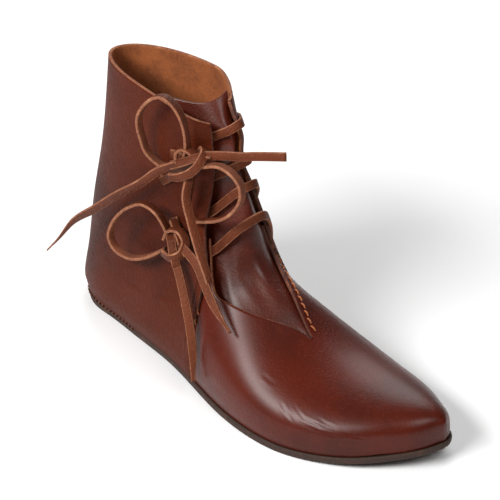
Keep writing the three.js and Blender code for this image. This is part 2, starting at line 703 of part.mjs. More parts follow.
// The loops and ends of a bow, each cut back from the knot and from those before it
function looseThongs(bow, fixed) {
  const taken = [knotBody(bow, clearance), fixed];
  const pieces = [];
  for (const [name, rows] of Object.entries(cordRoutes).filter(([key]) => key.includes(bow))) {
    const path = route(rows);
    let piece = strap(path, thongWidth, thongThickness);
    for (const other of taken) piece = piece.subtract(other);
    pieces.push([name, largest(piece)]);
    taken.push(strap(path, thongWidth + 2 * clearance, thongThickness + 2 * clearance));
  }
  return pieces;
}

// A slot for the lace through the wall
const slotDepth = 14;
function slot(frame, ahead, run) {
  const box = new THREE.BoxGeometry(run, thongWidth + 2 * laceClearance, slotDepth);
  const basis = new THREE.Matrix4().makeBasis(frame.run, frame.across, frame.out);
  box.applyMatrix4(basis);
  const centre = frame.point.clone().addScaledVector(frame.run, ahead);
  box.translate(centre.x, centre.y, centre.z);
  return toSolid(box);
}
const outerSlotRoom = 1.8;
const innerSlotRoom = 2.6;
const outerSlot = thongThickness + outerSlotRoom;
const innerSlot = thongThickness + innerSlotRoom;
const slotPlace = 0.85;
function laceSlots() {
  return bars.flatMap((bar) => {
    const { outer, inner } = barFrames(bar);
    return [slot(outer, -passRadius * slotPlace, outerSlot), slot(inner, 0, innerSlot)];
  });
}

// A box from one corner to another
const beyond = 400;
function block(low, high) {
  const size = high.clone().sub(low);
  const box = new THREE.BoxGeometry(size.x, size.y, size.z);
  const centre = low.clone().add(high).divideScalar(2);
  box.translate(centre.x, centre.y, centre.z);
  return toSolid(box);
}

// The part of the collar that dips towards the front corner of the outer quarter
const dipFrom = 0.214 * length - heelCentre;
const dipTo = 0.457 * length - heelCentre;
const dipDepth = 0.057 * shaftHeight;
const dipSteps = 9;
function collarDip() {
  const back = sectionAt(1);
  const slope = (back.crestZ - back.footZ) / (back.crestX - back.footX);
  const loops = steps(dipFrom, dipTo, dipSteps).map((x, i) => {
    const rim = back.footZ + slope * (x - back.footX);
    const low = rim - dipDepth * (i / (dipSteps - 1)) ** 2 + clearance;
    return [vec(x, 0, low), vec(x, 0, beyond), vec(x, -beyond, beyond), vec(x, -beyond, low)];
  });
  return loft(loops);
}

// The upper: vamp and quarters as one hollow wall, open at the collar, the throat and the sole
const toeStation = 2;
const quarterStation = 12;
const collarRaise = 12;
const cutOutside = -7;
const cutSpare = 1.5;
const cutInside = leather + cutSpare;
const wellFloor = -20;
const wellSpare = 0.5;
function upper() {
  const vamp = lastBody(0, () => 0);
  const behind = block(vec(-beyond, -beyond, -beyond), vec(outerSeam, 0, beyond))
    .add(block(vec(-beyond, 0, -beyond), vec(innerSeam, beyond, beyond)));
  const quarters = lastBody(quarterStation, () => -quarterStep).intersect(behind);
  const hollow = lastBody(toeStation, () => leather, collarRaise);
  const well = soleSheet(-leather, wellFloor, featherHeight + insoleThickness + wellSpare, 0);
  const outside = () => cutOutside;
  const inside = () => cutInside;
  const throat = patch(throatToe, 1, outerEdgeAt, innerEdgeAt, outside, inside, collarRaise);
  let wall = vamp.add(quarters).subtract(hollow).subtract(well).subtract(throat).subtract(collarDip());
  for (const cut of laceSlots()) wall = wall.subtract(cut);
  return largest(wall);
}

// Materials
const material = (color, roughness) => new THREE.MeshStandardMaterial({ color, roughness, metalness: 0 });
const vampLeather = material(0x5a2215, 0.35);
const soleLeather = material(0x33261d, 0.7);
const fleshLeather = material(0x9a5a30, 0.85);
const thongLeather = material(0x9c5a34, 0.6);

// A solid as a named mesh
function named(name, solid, look) {
  const { vertProperties, triVerts } = solid.getMesh();
  const geometry = new THREE.BufferGeometry();
  geometry.setAttribute("position", new THREE.BufferAttribute(new Float32Array(vertProperties), 3));
  geometry.setIndex(new THREE.BufferAttribute(new Uint32Array(triVerts), 1));
  geometry.computeVertexNormals();
  const mesh = new THREE.Mesh(geometry, look);
  mesh.name = name;
  return mesh;
}

const boot = new THREE.Group();
boot.name = "costume_boot";
boot.add(named("outsole", soleSheet(soleMargin, 0, soleThickness, soleBevel), soleLeather));
const insoleBevel = 0.2;
const insoleTop = featherHeight + insoleThickness;
const insole = soleSheet(-leather - 2 * clearance, featherHeight, insoleTop, insoleBevel);
boot.add(named("insole", insole, fleshLeather));
boot.add(named("upper", upper(), vampLeather));
boot.add(named("tongue", tongue(), vampLeather));
for (const bow of ["upper", "lower"]) {
  boot.add(named(`lace_${bow}_bars`, lace(bow).subtract(knotBody(bow, clearance)), thongLeather));
  boot.add(named(`lace_${bow}_knot`, knotBody(bow, 0), thongLeather));
  for (const [name, piece] of looseThongs(bow, lace(bow, clearance))) boot.add(named(name, piece, thongLeather));
}

export default boot;
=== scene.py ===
# Costume boot of thin leather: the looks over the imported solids, in metres in the same frame
import math

import bmesh
import bpy
import numpy as np
from mathutils import Matrix, Vector
from mathutils.kdtree import KDTree


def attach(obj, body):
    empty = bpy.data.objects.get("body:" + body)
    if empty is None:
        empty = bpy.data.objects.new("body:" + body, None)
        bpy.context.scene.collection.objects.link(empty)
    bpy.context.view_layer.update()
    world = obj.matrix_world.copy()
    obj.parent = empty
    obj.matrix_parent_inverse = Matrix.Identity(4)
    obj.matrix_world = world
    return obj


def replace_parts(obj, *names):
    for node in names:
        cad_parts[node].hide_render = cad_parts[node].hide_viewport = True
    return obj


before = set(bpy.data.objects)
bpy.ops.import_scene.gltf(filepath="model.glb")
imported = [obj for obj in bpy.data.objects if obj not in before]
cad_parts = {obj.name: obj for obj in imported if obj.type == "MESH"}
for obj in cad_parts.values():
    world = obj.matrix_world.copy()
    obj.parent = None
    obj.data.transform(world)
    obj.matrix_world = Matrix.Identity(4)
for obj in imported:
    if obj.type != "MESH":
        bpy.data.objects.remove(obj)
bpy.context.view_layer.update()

MM = 0.001

# The camera, at the photograph's angle. Distances in millimetres, picture places in pixels of 500
AZIMUTH = math.radians(46)
ELEVATION = math.radians(30)
CAMERA_DISTANCE = 1400
PIXELS_PER_MM = 1.43
PICTURE = 500
TARGET = np.array([-35.0, 0.0, 0.0])
TARGET_PIXEL = (59.5, 287.3)
# The camera keeps its place and turns to the middle of the shoe
SHOE_PIXEL = (190, 266)
SHOE_ZOOM = 1.14
SENSOR = 36
CLIP_START = 0.05
CLIP_END = 20


def camera_axes():
    """The camera's right, up and backward directions."""
    back = np.array([
        math.sin(AZIMUTH) * math.cos(ELEVATION),
        -math.cos(AZIMUTH) * math.cos(ELEVATION),
        math.sin(ELEVATION),
    ])
    right = np.array([math.cos(AZIMUTH), math.sin(AZIMUTH), 0.0])
    return right, np.cross(back, right), back


RIGHT, UP, BACK = camera_axes()
FOCAL = CAMERA_DISTANCE * PIXELS_PER_MM


def make_camera():
    """The scene's camera, placed so that the target lands on its pixel."""
    across = (TARGET_PIXEL[0] - PICTURE / 2) / FOCAL
    above = (PICTURE / 2 - TARGET_PIXEL[1]) / FOCAL
    place = TARGET - CAMERA_DISTANCE * (across * RIGHT + above * UP - BACK)
    data = bpy.data.cameras.new("camera")
    data.sensor_width = SENSOR
    data.lens = FOCAL * SHOE_ZOOM / PICTURE * SENSOR
    data.clip_start = CLIP_START
    data.clip_end = CLIP_END
    camera = bpy.data.objects.new("camera", data)
    aside = (SHOE_PIXEL[0] - PICTURE / 2) / FOCAL
    below = (SHOE_PIXEL[1] - PICTURE / 2) / FOCAL
    back = BACK - aside * RIGHT + below * UP
    back = back / np.linalg.norm(back)
    right = np.cross(UP, back)
    right = right / np.linalg.norm(right)
    turn = np.column_stack([right, np.cross(back, right), back])
    camera.matrix_world = Matrix.Translation(Vector(place * MM)) @ Matrix(turn.tolist()).to_4x4()
    bpy.context.scene.collection.objects.link(camera)
    bpy.context.scene.camera = camera


make_camera()

# Sizes of the boot and its pieces, in millimetres, as in the part's source
LENGTH = 280
BALL_WIDTH = 90
HEEL_WIDTH = 67
INSTEP_HEIGHT = 57
SHAFT_HEIGHT = 158
COLLAR_WIDTH = 43
HEEL_CENTRE = 35
TOE_SPRING = 9.5
ARCH_LIFT = 1.6
SOLE_THICKNESS = 4
SOLE_MARGIN = 1.4
LEATHER = 2
QUARTER_STEP = 1.2
TONGUE_THICKNESS = 1.6
TONGUE_OUTER_LAP = 10
TONGUE_INNER_LAP = 5
THONG_WIDTH = 5
THONG_THICKNESS = 1.8
CLEARANCE = 0.3
LACE_CLEARANCE = 1.1

# The last's sections, as in the part's source: shares of the length, the row's height and its width
WIDTHS = {"ball": BALL_WIDTH, "heel": HEEL_WIDTH, "collar": COLLAR_WIDTH}
HEIGHTS = {"instep": INSTEP_HEIGHT, "shaft": SHAFT_HEIGHT}
SECTION_COLUMNS = [
    "footX", "footZ", "crestX", "crestZ", "swing",
    "flatOuter", "flatInner", "wideOuter", "wideInner", "wideAt", "domeOuter", "domeInner",
    "rise",
]
SECTION_ROWS = [
    ["ball", "instep", 1.0, 0.1, 1.0, 0.2, 0.1, 0.01, 0.01, 0.014, 0.014, 0.5, 0.5, 0.5, 1.0],
    ["ball", "instep", 0.99, 0, 0.988, 0.27, 0.092, 0.105, 0.08, 0.11, 0.084, 0.45, 0.52, 0.52, 0.8],
    ["ball", "instep", 0.955, 0, 0.95, 0.38, 0.053, 0.225, 0.19, 0.233, 0.197, 0.42, 0.52, 0.52, 0.74],
    ["ball", "instep", 0.9, 0, 0.885, 0.48, 0.012, 0.35, 0.315, 0.362, 0.325, 0.38, 0.5, 0.5, 0.7],
    ["ball", "instep", 0.82, 0, 0.8, 0.58, -0.024, 0.457, 0.406, 0.472, 0.42, 0.34, 0.47, 0.47, 0.7],
    ["ball", "instep", 0.73, 0, 0.705, 0.735, -0.041, 0.518, 0.445, 0.532, 0.459, 0.3, 0.43, 0.43, 0.7],
    ["ball", "instep", 0.62, 0, 0.62, 0.993, -0.047, 0.506, 0.389, 0.528, 0.42, 0.28, 0.4, 0.4, 0.72],
    ["ball", "shaft", 0.5, 0, 0.548, 0.462, -0.047, 0.433, 0.304, 0.465, 0.375, 0.28, 0.38, 0.32, 0.75],
    ["ball", "shaft", 0.38, 0, 0.528, 0.575, -0.029, 0.365, 0.253, 0.415, 0.357, 0.28, 0.38, 0.28, 0.8],
    ["heel", "shaft", 0.26, 0, 0.505, 0.675, -0.019, 0.43, 0.364, 0.538, 0.503, 0.28, 0.38, 0.245, 0.85],
    ["heel", "shaft", 0.14, 0, 0.486, 0.755, 0, 0.388, 0.383, 0.506, 0.497, 0.28, 0.42, 0.135, 0.85],
    ["heel", "shaft", 0.05, 0, 0.479, 0.815, 0, 0.282, 0.277, 0.475, 0.471, 0.32, 0.46, 0.03, 0.62],
    ["heel", "shaft", 0.006, 0, 0.476, 0.845, 0, 0.103, 0.103, 0.435, 0.43, 0.36, 0.5, 0.07, 0.2],
    ["heel", "shaft", 0.006, 0.12, 0.471, 0.87, 0, 0, 0, 0.421, 0.469, 0.42, 0.52, 0.12, 0],
    ["collar", "shaft", 0.026, 0.35, 0.462, 0.9, 0, 0, 0, 0.611, 0.716, 0.48, 0.54, 0.17, 0],
    ["collar", "shaft", 0.06, 0.62, 0.448, 0.93, 0, 0, 0, 0.552, 0.668, 0.54, 0.645, 0.205, 0],
    ["collar", "shaft", 0.08, 0.85, 0.435, 0.955, 0, 0, 0, 0.503, 0.637, 0.58, 0.735, 0.24, 0],
    ["collar", "shaft", 0.09, 1.0, 0.424, 0.975, 0, 0, 0, 0.468, 0.61, 0.6, 0.82, 0.275, 0],
]

# The throat's outer and inner edge around the section, at places along the last
THROAT_ROWS = [
    [0.286, 0.480, 0.486],
    [0.306, 0.472, 0.492],
    [0.350, 0.439, 0.512],
    [0.400, 0.406, 0.545],
    [0.442, 0.383, 0.575],
    [0.486, 0.360, 0.592],
    [0.530, 0.366, 0.585],
    [0.580, 0.383, 0.568],
    [0.630, 0.401, 0.550],
    [0.690, 0.421, 0.541],
    [0.760, 0.421, 0.533],
    [0.870, 0.418, 0.515],
    [1.000, 0.419, 0.535],
]
THROAT_TOE = THROAT_ROWS[0][0]
OUTER_SEAM = 0.479 * LENGTH - HEEL_CENTRE
INNER_SEAM = 0.518 * LENGTH - HEEL_CENTRE

# The lace bars: bow, outer hole, the place at the quarter's edge, inner hole
BAR_ROWS = [
    ["upper", 0.840, 0.339, 0.836, 0.423, 0.889, 0.600],
    ["upper", 0.775, 0.331, 0.691, 0.425, 0.738, 0.612],
    ["lower", 0.666, 0.356, 0.630, 0.400, 0.622, 0.610],
    ["lower", 0.613, 0.340, 0.560, 0.379, 0.548, 0.645],
]
KNOTS = {"upper": np.array([85.0, -25.0, 132.0]), "lower": np.array([77.0, -34.0, 81.0])}

# The loops and ends of the thongs: the turn of the thong's width in degrees, then points in millimetres
CORD_ROUTES = {
    "lace_upper_loop_back": (0, [
        [79, -26, 135], [81, -26, 143], [81, -27, 154], [80, -29, 162], [76, -30, 167], [70, -31, 170],
        [63, -32, 168], [56, -33, 162], [51, -34, 154], [49, -33, 145], [50, -32, 138], [52, -31, 131],
        [56, -29, 126], [62, -28, 124], [70, -27, 127],
    ]),
    "lace_upper_loop_front": (0, [
        [92, -25, 134], [104, -23, 138], [115, -23, 137], [121, -23, 132], [121, -23, 124],
        [115, -24, 114], [105, -25, 106], [95, -27, 102], [86, -29, 100], [82, -28, 105],
        [83, -27, 115], [84, -26, 124],
    ]),
    "lace_upper_end_back": (70, [
        [78, -31, 132], [65, -34, 124], [52, -37, 112], [36, -40, 100], [17, -42, 84], [-3, -43, 68],
        [-17, -44, 51], [-29, -44, 38],
    ]),
    "lace_upper_end_front": (80, [
        [91, -22, 139], [103, -18, 142], [111, -14, 143], [118, -9, 144], [131, 1, 145],
    ]),
    "lace_upper_end_down": (20, [
        [86, -30, 126], [89, -35, 117], [96, -38, 107], [105, -41, 95], [116, -43, 78],
    ]),
    "lace_lower_loop": (0, [
        [73, -34, 86], [70, -36, 95], [66, -38, 101], [58, -40, 103], [50, -42, 99], [41, -43, 91],
        [35, -44, 82], [32, -44, 73], [35, -43, 66], [44, -42, 64], [55, -41, 67], [65, -38, 73],
        [71, -36, 78],
    ]),
    "lace_lower_end_long": (60, [
        [80, -37, 76], [89, -41, 68], [96, -44, 58], [103, -47, 45], [107, -49, 31], [109, -51, 14],
    ]),
    "lace_lower_end_short": (60, [
        [83, -35, 85], [99, -37, 79], [108, -39, 70], [119, -41, 60], [130, -41, 51],
    ]),
}
# How the ends taper: the share of the width left at the tip, and the share of the length it takes
CORD_TAPERS = {
    "lace_upper_end_back": (0.16, 0.45),
    "lace_upper_end_down": (0.85, 0.3),
    "lace_lower_end_long": (0.45, 0.3),
    "lace_lower_end_short": (0.3, 0.4),
}
LOOPS = ("lace_upper_loop_back", "lace_upper_loop_front", "lace_lower_loop")


# Curves

TINY = 1e-12


def smooth(t):
    """A soft step from 0 to 1."""
    s = np.clip(t, 0, 1)
    return s * s * (3 - 2 * s)


def mix(a, b, t):
    """The value between a and b at a share."""
    return a + (b - a) * t


def bell(far, wide):
    """A soft hump of height 1 over a distance."""
    return np.exp(-(far / wide) ** 2)


def unit(v):
    """Vectors of length one."""
    size = np.linalg.norm(v, axis=-1, keepdims=True)
    return v / np.maximum(size, TINY)


def dot(a, b):
    """Dot product with its axis kept."""
    return np.sum(a * b, axis=-1, keepdims=True)


def spline(knots, values):
    """A natural cubic spline, as a function that takes arrays."""
    knots = np.asarray(knots, float)
    values = np.asarray(values, float)
    count = len(knots)
    gaps = np.diff(knots)
    slopes = np.diff(values) / gaps
    system = np.eye(count)
    target = np.zeros(count)
    for i in range(1, count - 1):
        system[i, i - 1:i + 2] = [gaps[i - 1], 2 * (gaps[i - 1] + gaps[i]), gaps[i]]
        target[i] = 6 * (slopes[i] - slopes[i - 1])
    bend = np.linalg.solve(system, target)

    def curve(at):
        at = np.asarray(at, float)
        i = np.clip(np.searchsorted(knots, at, side="right") - 1, 0, count - 2)
        span = gaps[i]
        a = (knots[i + 1] - at) / span
        b = (at - knots[i]) / span
        curved = (a ** 3 - a) * bend[i] + (b ** 3 - b) * bend[i + 1]
        return a * values[i] + b * values[i + 1] + curved * span ** 2 / 6

    return curve


def catmull(points, per_span=24):
    """Points close together on a centripetal Catmull-Rom curve."""
    p = np.asarray(points, float)
    p = np.vstack([2 * p[0] - p[1], p, 2 * p[-1] - p[-2]])
    rows = []
    for i in range(1, len(p) - 2):
        d0, d1, d2 = (np.linalg.norm(p[i + k, :3] - p[i + k - 1, :3]) ** 0.5 for k in range(3))
        before, step, after = (p[i + k] - p[i + k - 1] for k in range(3))
        t1 = (before / d0 - (p[i + 1] - p[i - 1]) / (d0 + d1) + step / d1) * d1
        t2 = (step / d1 - (p[i + 2] - p[i]) / (d1 + d2) + after / d2) * d1
        last = i == len(p) - 3
        t = np.linspace(0, 1, per_span + 1)[: None if last else -1, None]
        c2 = 3 * step - 2 * t1 - t2
        c3 = t1 + t2 - 2 * step
        rows.append(p[i] + t1 * t + c2 * t ** 2 + c3 * t ** 3)
    return np.vstack(rows)


def resample(points, step):
    """Points an even step apart along a line of points, with each one's share of the length."""
    size = np.linalg.norm(np.diff(points[:, :3], axis=0), axis=1)
    run = np.concatenate([[0], np.cumsum(size)])
    count = max(int(math.ceil(run[-1] / step)), 2) + 1
    at = np.linspace(0, run[-1], count)
    return np.column_stack([np.interp(at, run, column) for column in points.T]), at / run[-1]


# The last

GIRTH_SHARE = 0.35


def section_table():
    """The section rows in millimetres."""
    table = []
    for row in SECTION_ROWS:
        cell = dict(zip(SECTION_COLUMNS, row[2:]))
        for name in ("footX", "crestX"):
            cell[name] = cell[name] * LENGTH - HEEL_CENTRE
        for name in ("footZ", "crestZ"):
            cell[name] *= HEIGHTS[row[1]]
        for name in ("swing", "flatOuter", "flatInner", "wideOuter", "wideInner"):
            cell[name] *= WIDTHS[row[0]]
        table.append(cell)
    return table


SECTIONS = section_table()


def section_knots():
    """The sections' places along the last."""
    run = [0.0]
    for a, b in zip(SECTIONS[:-1], SECTIONS[1:]):
        x = (b["footX"] + b["crestX"] - a["footX"] - a["crestX"]) / 2
        z = (b["footZ"] + b["crestZ"] - a["footZ"] - a["crestZ"]) / 2
        girth = (b["wideOuter"] + b["wideInner"] - a["wideOuter"] - a["wideInner"]) * GIRTH_SHARE
        run.append(run[-1] + math.sqrt(x * x + z * z + girth * girth))
    return np.array(run) / run[-1]


SECTION_KNOTS = section_knots()
SECTION_CURVES = {name: spline(SECTION_KNOTS, [s[name] for s in SECTIONS]) for name in SECTION_COLUMNS}

SPRING_START = 0.74
ARCH_START = 0.2
ARCH_END = 0.6
SPRING_REACH = 1.1
FEATHER_HEIGHT = SOLE_THICKNESS + CLEARANCE


def lift(x):
    """How far the sole lies above the floor."""
    share = (np.asarray(x, float) + HEEL_CENTRE) / LENGTH
    spring = np.clip((share - SPRING_START) / (1 - SPRING_START), 0, SPRING_REACH) ** 2 * TOE_SPRING
    arch = np.sin(np.pi * np.clip((share - ARCH_START) / (ARCH_END - ARCH_START), 0, 1)) ** 2 * ARCH_LIFT
    return spring + arch


def section_at(along):
    """The sections at an array of places."""
    at = np.clip(along, 0, 1)
    cut = {name: SECTION_CURVES[name](at) for name in SECTION_COLUMNS}
    for name in ("footZ", "flatOuter", "flatInner"):
        cut[name] = np.maximum(cut[name], 0)
    cut["rise"] = np.clip(cut["rise"], 0, 1)
    cut["footZ"] = cut["footZ"] + FEATHER_HEIGHT + lift(cut["footX"])
    cut["crestZ"] = cut["crestZ"] + FEATHER_HEIGHT + lift(cut["crestX"])
    return cut


SIDE_HANDLE = 0.45
FLARE = 0.55
FLARE_OVER_RISE = 0.35
SHOULDER_HANDLE = 1.1


def bezier(p0, p1, p2, p3, t):
    """One coordinate of a cubic Bezier curve."""
    s = 1 - t
    return s ** 3 * p0 + 3 * s * s * t * p1 + 3 * s * t * t * p2 + t ** 3 * p3


def last_point(along, around):
    """Points on the last's surface, by place along it and around the section."""
    along, around = np.broadcast_arrays(np.asarray(along, float), np.asarray(around, float))
    cut = section_at(along)
    outer = around < 0.5
    flat = np.where(outer, cut["flatOuter"], cut["flatInner"])
    wide = np.maximum(np.where(outer, cut["wideOuter"], cut["wideInner"]), 0)
    lean_x = cut["crestX"] - cut["footX"]
    lean_z = cut["crestZ"] - cut["footZ"]
    tall = np.hypot(lean_x, lean_z)
    share = 1 - np.abs(2 * around - 1)
    widest = cut["wideAt"] * tall
    bulge = np.maximum(wide - flat, 0)
    low = share < 0.5
    t = np.where(low, share * 2, share * 2 - 1)
    knee = flat + bulge * (FLARE + FLARE_OVER_RISE * cut["rise"])
    dome = np.where(outer, cut["domeOuter"], cut["domeInner"])
    zero = np.zeros_like(tall)
    out_low = bezier(flat, knee, wide, wide, t)
    up_low = bezier(zero, widest * SIDE_HANDLE * cut["rise"], widest * SIDE_HANDLE, widest, t)
    shoulder = widest + (tall - widest) * dome * SHOULDER_HANDLE
    out_high = bezier(wide, wide, wide * dome, zero, t)
    up_high = bezier(widest, shoulder, tall, tall, t)
    up = np.where(low, up_low, up_high)
    x = cut["footX"] + lean_x * up / tall
    y = cut["swing"] + np.where(outer, -1, 1) * np.where(low, out_low, out_high)
    z = cut["footZ"] + lean_z * up / tall
    return np.stack([x, y, z], axis=-1)


PROBE = 0.002
POINTED = 0.01


def outwards(along, around):
    """The way out of the last at places on it."""
    along, around = np.broadcast_arrays(np.asarray(along, float), np.asarray(around, float))
    cut = section_at(along)
    closed = cut["flatOuter"] + cut["flatInner"] < POINTED
    low = around - PROBE
    high = around + PROBE
    low = np.where(low < 0, np.where(closed, low + 1, 0), low)
    high = np.where(high > 1, np.where(closed, high - 1, 1), high)
    ahead = last_point(np.minimum(along + PROBE, 1), around)
    back = last_point(np.maximum(along - PROBE, 0), around)
    crosswise = last_point(along, high) - last_point(along, low)
    return unit(np.cross(crosswise, ahead - back))


THROAT_KNOTS = [row[0] for row in THROAT_ROWS]
outer_edge_at = spline(THROAT_KNOTS, [row[1] for row in THROAT_ROWS])
inner_edge_at = spline(THROAT_KNOTS, [row[2] for row in THROAT_ROWS])


def around_for(along, around, distance):
    """The share around a section that a length takes on the wall there."""
    gap = np.linalg.norm(last_point(along, around) - last_point(along, around + PROBE), axis=-1)
    return distance * PROBE / gap


def solve_along(around_of, goal, low, high, rounds=26):
    """The place along the last, for each column, where goal turns from positive to negative."""
    a = np.full_like(around_of(0.5) * 1.0, low)
    b = np.full_like(a, high)
    for _ in range(rounds):
        middle = (a + b) / 2
        positive = goal(middle) > 0
        a = np.where(positive, middle, a)
        b = np.where(positive, b, middle)
    return (a + b) / 2


# Meshes

WELD = 2e-6


def new_object(name, points, faces, looks, face_looks):
    """A smooth mesh that rides on the boot, from points in millimetres: no doubled points, faces outwards."""
    mesh = bpy.data.meshes.new(name)
    mesh.from_pydata((np.asarray(points) * MM).tolist(), [], faces)
    for look in looks:
        mesh.materials.append(look)
    mesh.polygons.foreach_set("material_index", np.asarray(face_looks, dtype=np.int32))
    mesh.polygons.foreach_set("use_smooth", np.full(len(mesh.polygons), True))
    bm = bmesh.new()
    bm.from_mesh(mesh)
    bmesh.ops.remove_doubles(bm, verts=bm.verts, dist=WELD)
    bmesh.ops.recalc_face_normals(bm, faces=bm.faces)
    bm.to_mesh(mesh)
    bm.free()
    mesh.update()
    obj = bpy.data.objects.new(name, mesh)
    bpy.context.scene.collection.objects.link(obj)
    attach(obj, "root")
    return obj


def quads_of(ids):
    """The faces of a grid of point numbers."""
    return np.stack([ids[:-1, :-1], ids[1:, :-1], ids[1:, 1:], ids[:-1, 1:]], axis=-1).reshape(-1, 4).tolist()


def tube_mesh(parts):
    """Points, faces and looks of closed tubes. A part is its rings, its strips' looks and its ends' look."""
    points = []
    faces = []
    looks = []
    total = 0
    for rings, strip_looks, end_look in parts:
        count, sides = rings.shape[:2]
        ids = total + np.arange(count * sides).reshape(count, sides)
        around = np.hstack([ids, ids[:, :1]])
        for j, look in enumerate(strip_looks):
            faces += quads_of(around[:, j:j + 2])
            looks += [look] * (count - 1)
        faces += [ids[0].tolist(), ids[-1][::-1].tolist()]
        looks += [end_look, end_look]
        points.append(rings.reshape(-1, 3))
        total += count * sides
    return np.vstack(points), faces, looks


# A sheet's looks: its grain side, its flesh side, and its cut edges, light or dark
GRAIN, FLESH, RAW, DARK = range(4)
ROUND_BY = 0.3
ROUND_MOST = 0.4
EDGE_CROWN = 1.15


class Shell:
    """Grids of points for a sheet of leather: its grain side, its flesh side and its cut edges."""

    def __init__(self):
        self.points = []
        self.faces = []
        self.looks = []
        self.total = 0

    def add_points(self, points):
        start = self.total
        flat = points.reshape(-1, 3)
        self.points.append(flat)
        self.total += len(flat)
        return start + np.arange(len(flat)).reshape(points.shape[:-1])

    def add_quads(self, ids, look):
        quads = quads_of(ids)
        self.faces += quads
        self.looks += [look] * len(quads)

    def add_sheet(self, top, bottom, edges):
        """edges lists the borders that show: start, end, low or high, each with its first row and look."""
        top_ids = self.add_points(top)
        bottom_ids = self.add_points(bottom)
        self.add_quads(top_ids, GRAIN)
        self.add_quads(bottom_ids[::-1], FLESH)
        for where, first, look in edges:
            take = {
                "start": lambda g: (g[0], g[1]),
                "end": lambda g: (g[-1], g[-2]),
                "low": lambda g: (g[first:, 0], g[first:, 1]),
                "high": lambda g: (g[first:, -1], g[first:, -2]),
            }[where]
            edge, inner = take(top)
            under, _ = take(bottom)
            out = unit(edge - inner) * ROUND_BY
            thick = np.linalg.norm(edge - under, axis=-1, keepdims=True)
            share = np.clip(ROUND_BY / np.maximum(thick, TINY), 0, ROUND_MOST)
            rows = [
                mix(edge, under, share) + out,
                mix(edge, under, 0.5) + out * EDGE_CROWN,
                mix(edge, under, 1 - share) + out,
            ]
            row_ids = self.add_points(np.stack(rows))
            self.add_quads(np.vstack([take(top_ids)[0][None], row_ids, take(bottom_ids)[0][None]]), look)

    def build(self, name, looks, node):
        """The sheet as a piece that stands for a node."""
        obj = new_object(name, np.vstack(self.points), self.faces, looks, self.looks)
        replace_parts(obj, node)
        return obj


# Straps and threads. A strap's looks: its grain, its flesh and its cut edge
STRAP_GRAIN, STRAP_FLESH, STRAP_EDGE = range(3)
STRAP_CORNER = 0.42
CORNER_MOST = 0.8
CORNER_CUT = 0.3
STRAP_CROWN = 0.12
OUTER_SIDE = unit(np.array([0.22, -0.975, 0.0]))
CORD_STEP = 1.5


def strap(path, across, grain_up=False, taper=1.0):
    """A flat strap's rounded section along a path, as a part of a tube mesh."""
    along = unit(np.gradient(path, axis=0))
    wide = unit(across - along * dot(across, along))
    thick = np.cross(wide, along)
    w = (THONG_WIDTH / 2 * taper * np.ones(len(path)))[:, None]
    h = np.full_like(w, THONG_THICKNESS / 2)
    c = np.minimum(STRAP_CORNER, w * CORNER_MOST)
    d = CORNER_CUT * c
    half = [(w, h - c), (w - d, h - d), (w - c, h), (0 * w, h + STRAP_CROWN)]
    half += [(c - w, h), (d - w, h - d), (-w, h - c)]
    profile = half + [(-a, -b) for a, b in half]
    rings = np.stack([path + wide * a + thick * b for a, b in profile], axis=1)
    faces = (STRAP_GRAIN, STRAP_FLESH) if grain_up else (STRAP_FLESH, STRAP_GRAIN)
    looks = []
    for face in faces:
        looks += [STRAP_EDGE, STRAP_EDGE, face, face, STRAP_EDGE, STRAP_EDGE, STRAP_EDGE]
    return rings, looks, STRAP_EDGE


def strap_piece(name, parts, node):
    """Straps as one piece that stands for a node."""
    piece_points, piece_faces, piece_looks = tube_mesh(parts)
    obj = new_object(name, piece_points, piece_faces, THONG_LOOKS, piece_looks)
    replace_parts(obj, node)
    return obj


def route(rows, turn):
    """A thong's path and the direction of its width along it, turned by a number of degrees."""
    path, share = resample(catmull(rows), CORD_STEP)
    run = unit(np.gradient(path, axis=0))
    side = unit(OUTER_SIDE - run * dot(OUTER_SIDE[None], run))
    angle = math.radians(turn)
    return path, side * math.cos(angle) + np.cross(run, side) * math.sin(angle), share


THREAD_SIDES = 6
THREAD_DRAWN = 0.75
THREAD_LEAST = 0.1
STEEP = 0.9


def thread_tube(path, radius):
    """A round thread along a few points, drawn in at both ends, as a part of a tube mesh."""
    run = unit(np.gradient(path, axis=0))
    helper = np.where(np.abs(run[:, 2:]) > STEEP, [[1.0, 0, 0]], [[0, 0, 1.0]])
    a = unit(np.cross(run, helper))
    b = np.cross(run, a)
    share = np.linspace(-1, 1, len(path))[:, None, None]
    size = radius * np.sqrt(np.clip(1 - THREAD_DRAWN * share ** 4, THREAD_LEAST, 1))
    angle = np.linspace(0, 2 * np.pi, THREAD_SIDES, endpoint=False)[None, :, None]
    rings = path[:, None] + size * (a[:, None] * np.cos(angle) + b[:, None] * np.sin(angle))
    return rings, [0] * THREAD_SIDES, 0


# Materials

# The constants of the sRGB curve
WHITE = 255
SRGB_KNEE = 0.04045
SRGB_SLOPE = 12.92
SRGB_SHIFT = 0.055
SRGB_POWER = 2.4


def tint(*levels):
    """A colour given in 0 to 255, as the linear values that shaders take."""
    shares = [level / WHITE for level in levels]
    curved = [((c + SRGB_SHIFT) / (1 + SRGB_SHIFT)) ** SRGB_POWER for c in shares]
    return (*(c / SRGB_SLOPE if c <= SRGB_KNEE else bent for c, bent in zip(shares, curved)), 1.0)


# The colour mix node's sockets by place, as their names repeat
MIX_SHARE = 0
MIX_FIRST = 6
MIX_SECOND = 7
MIX_RESULT = 2


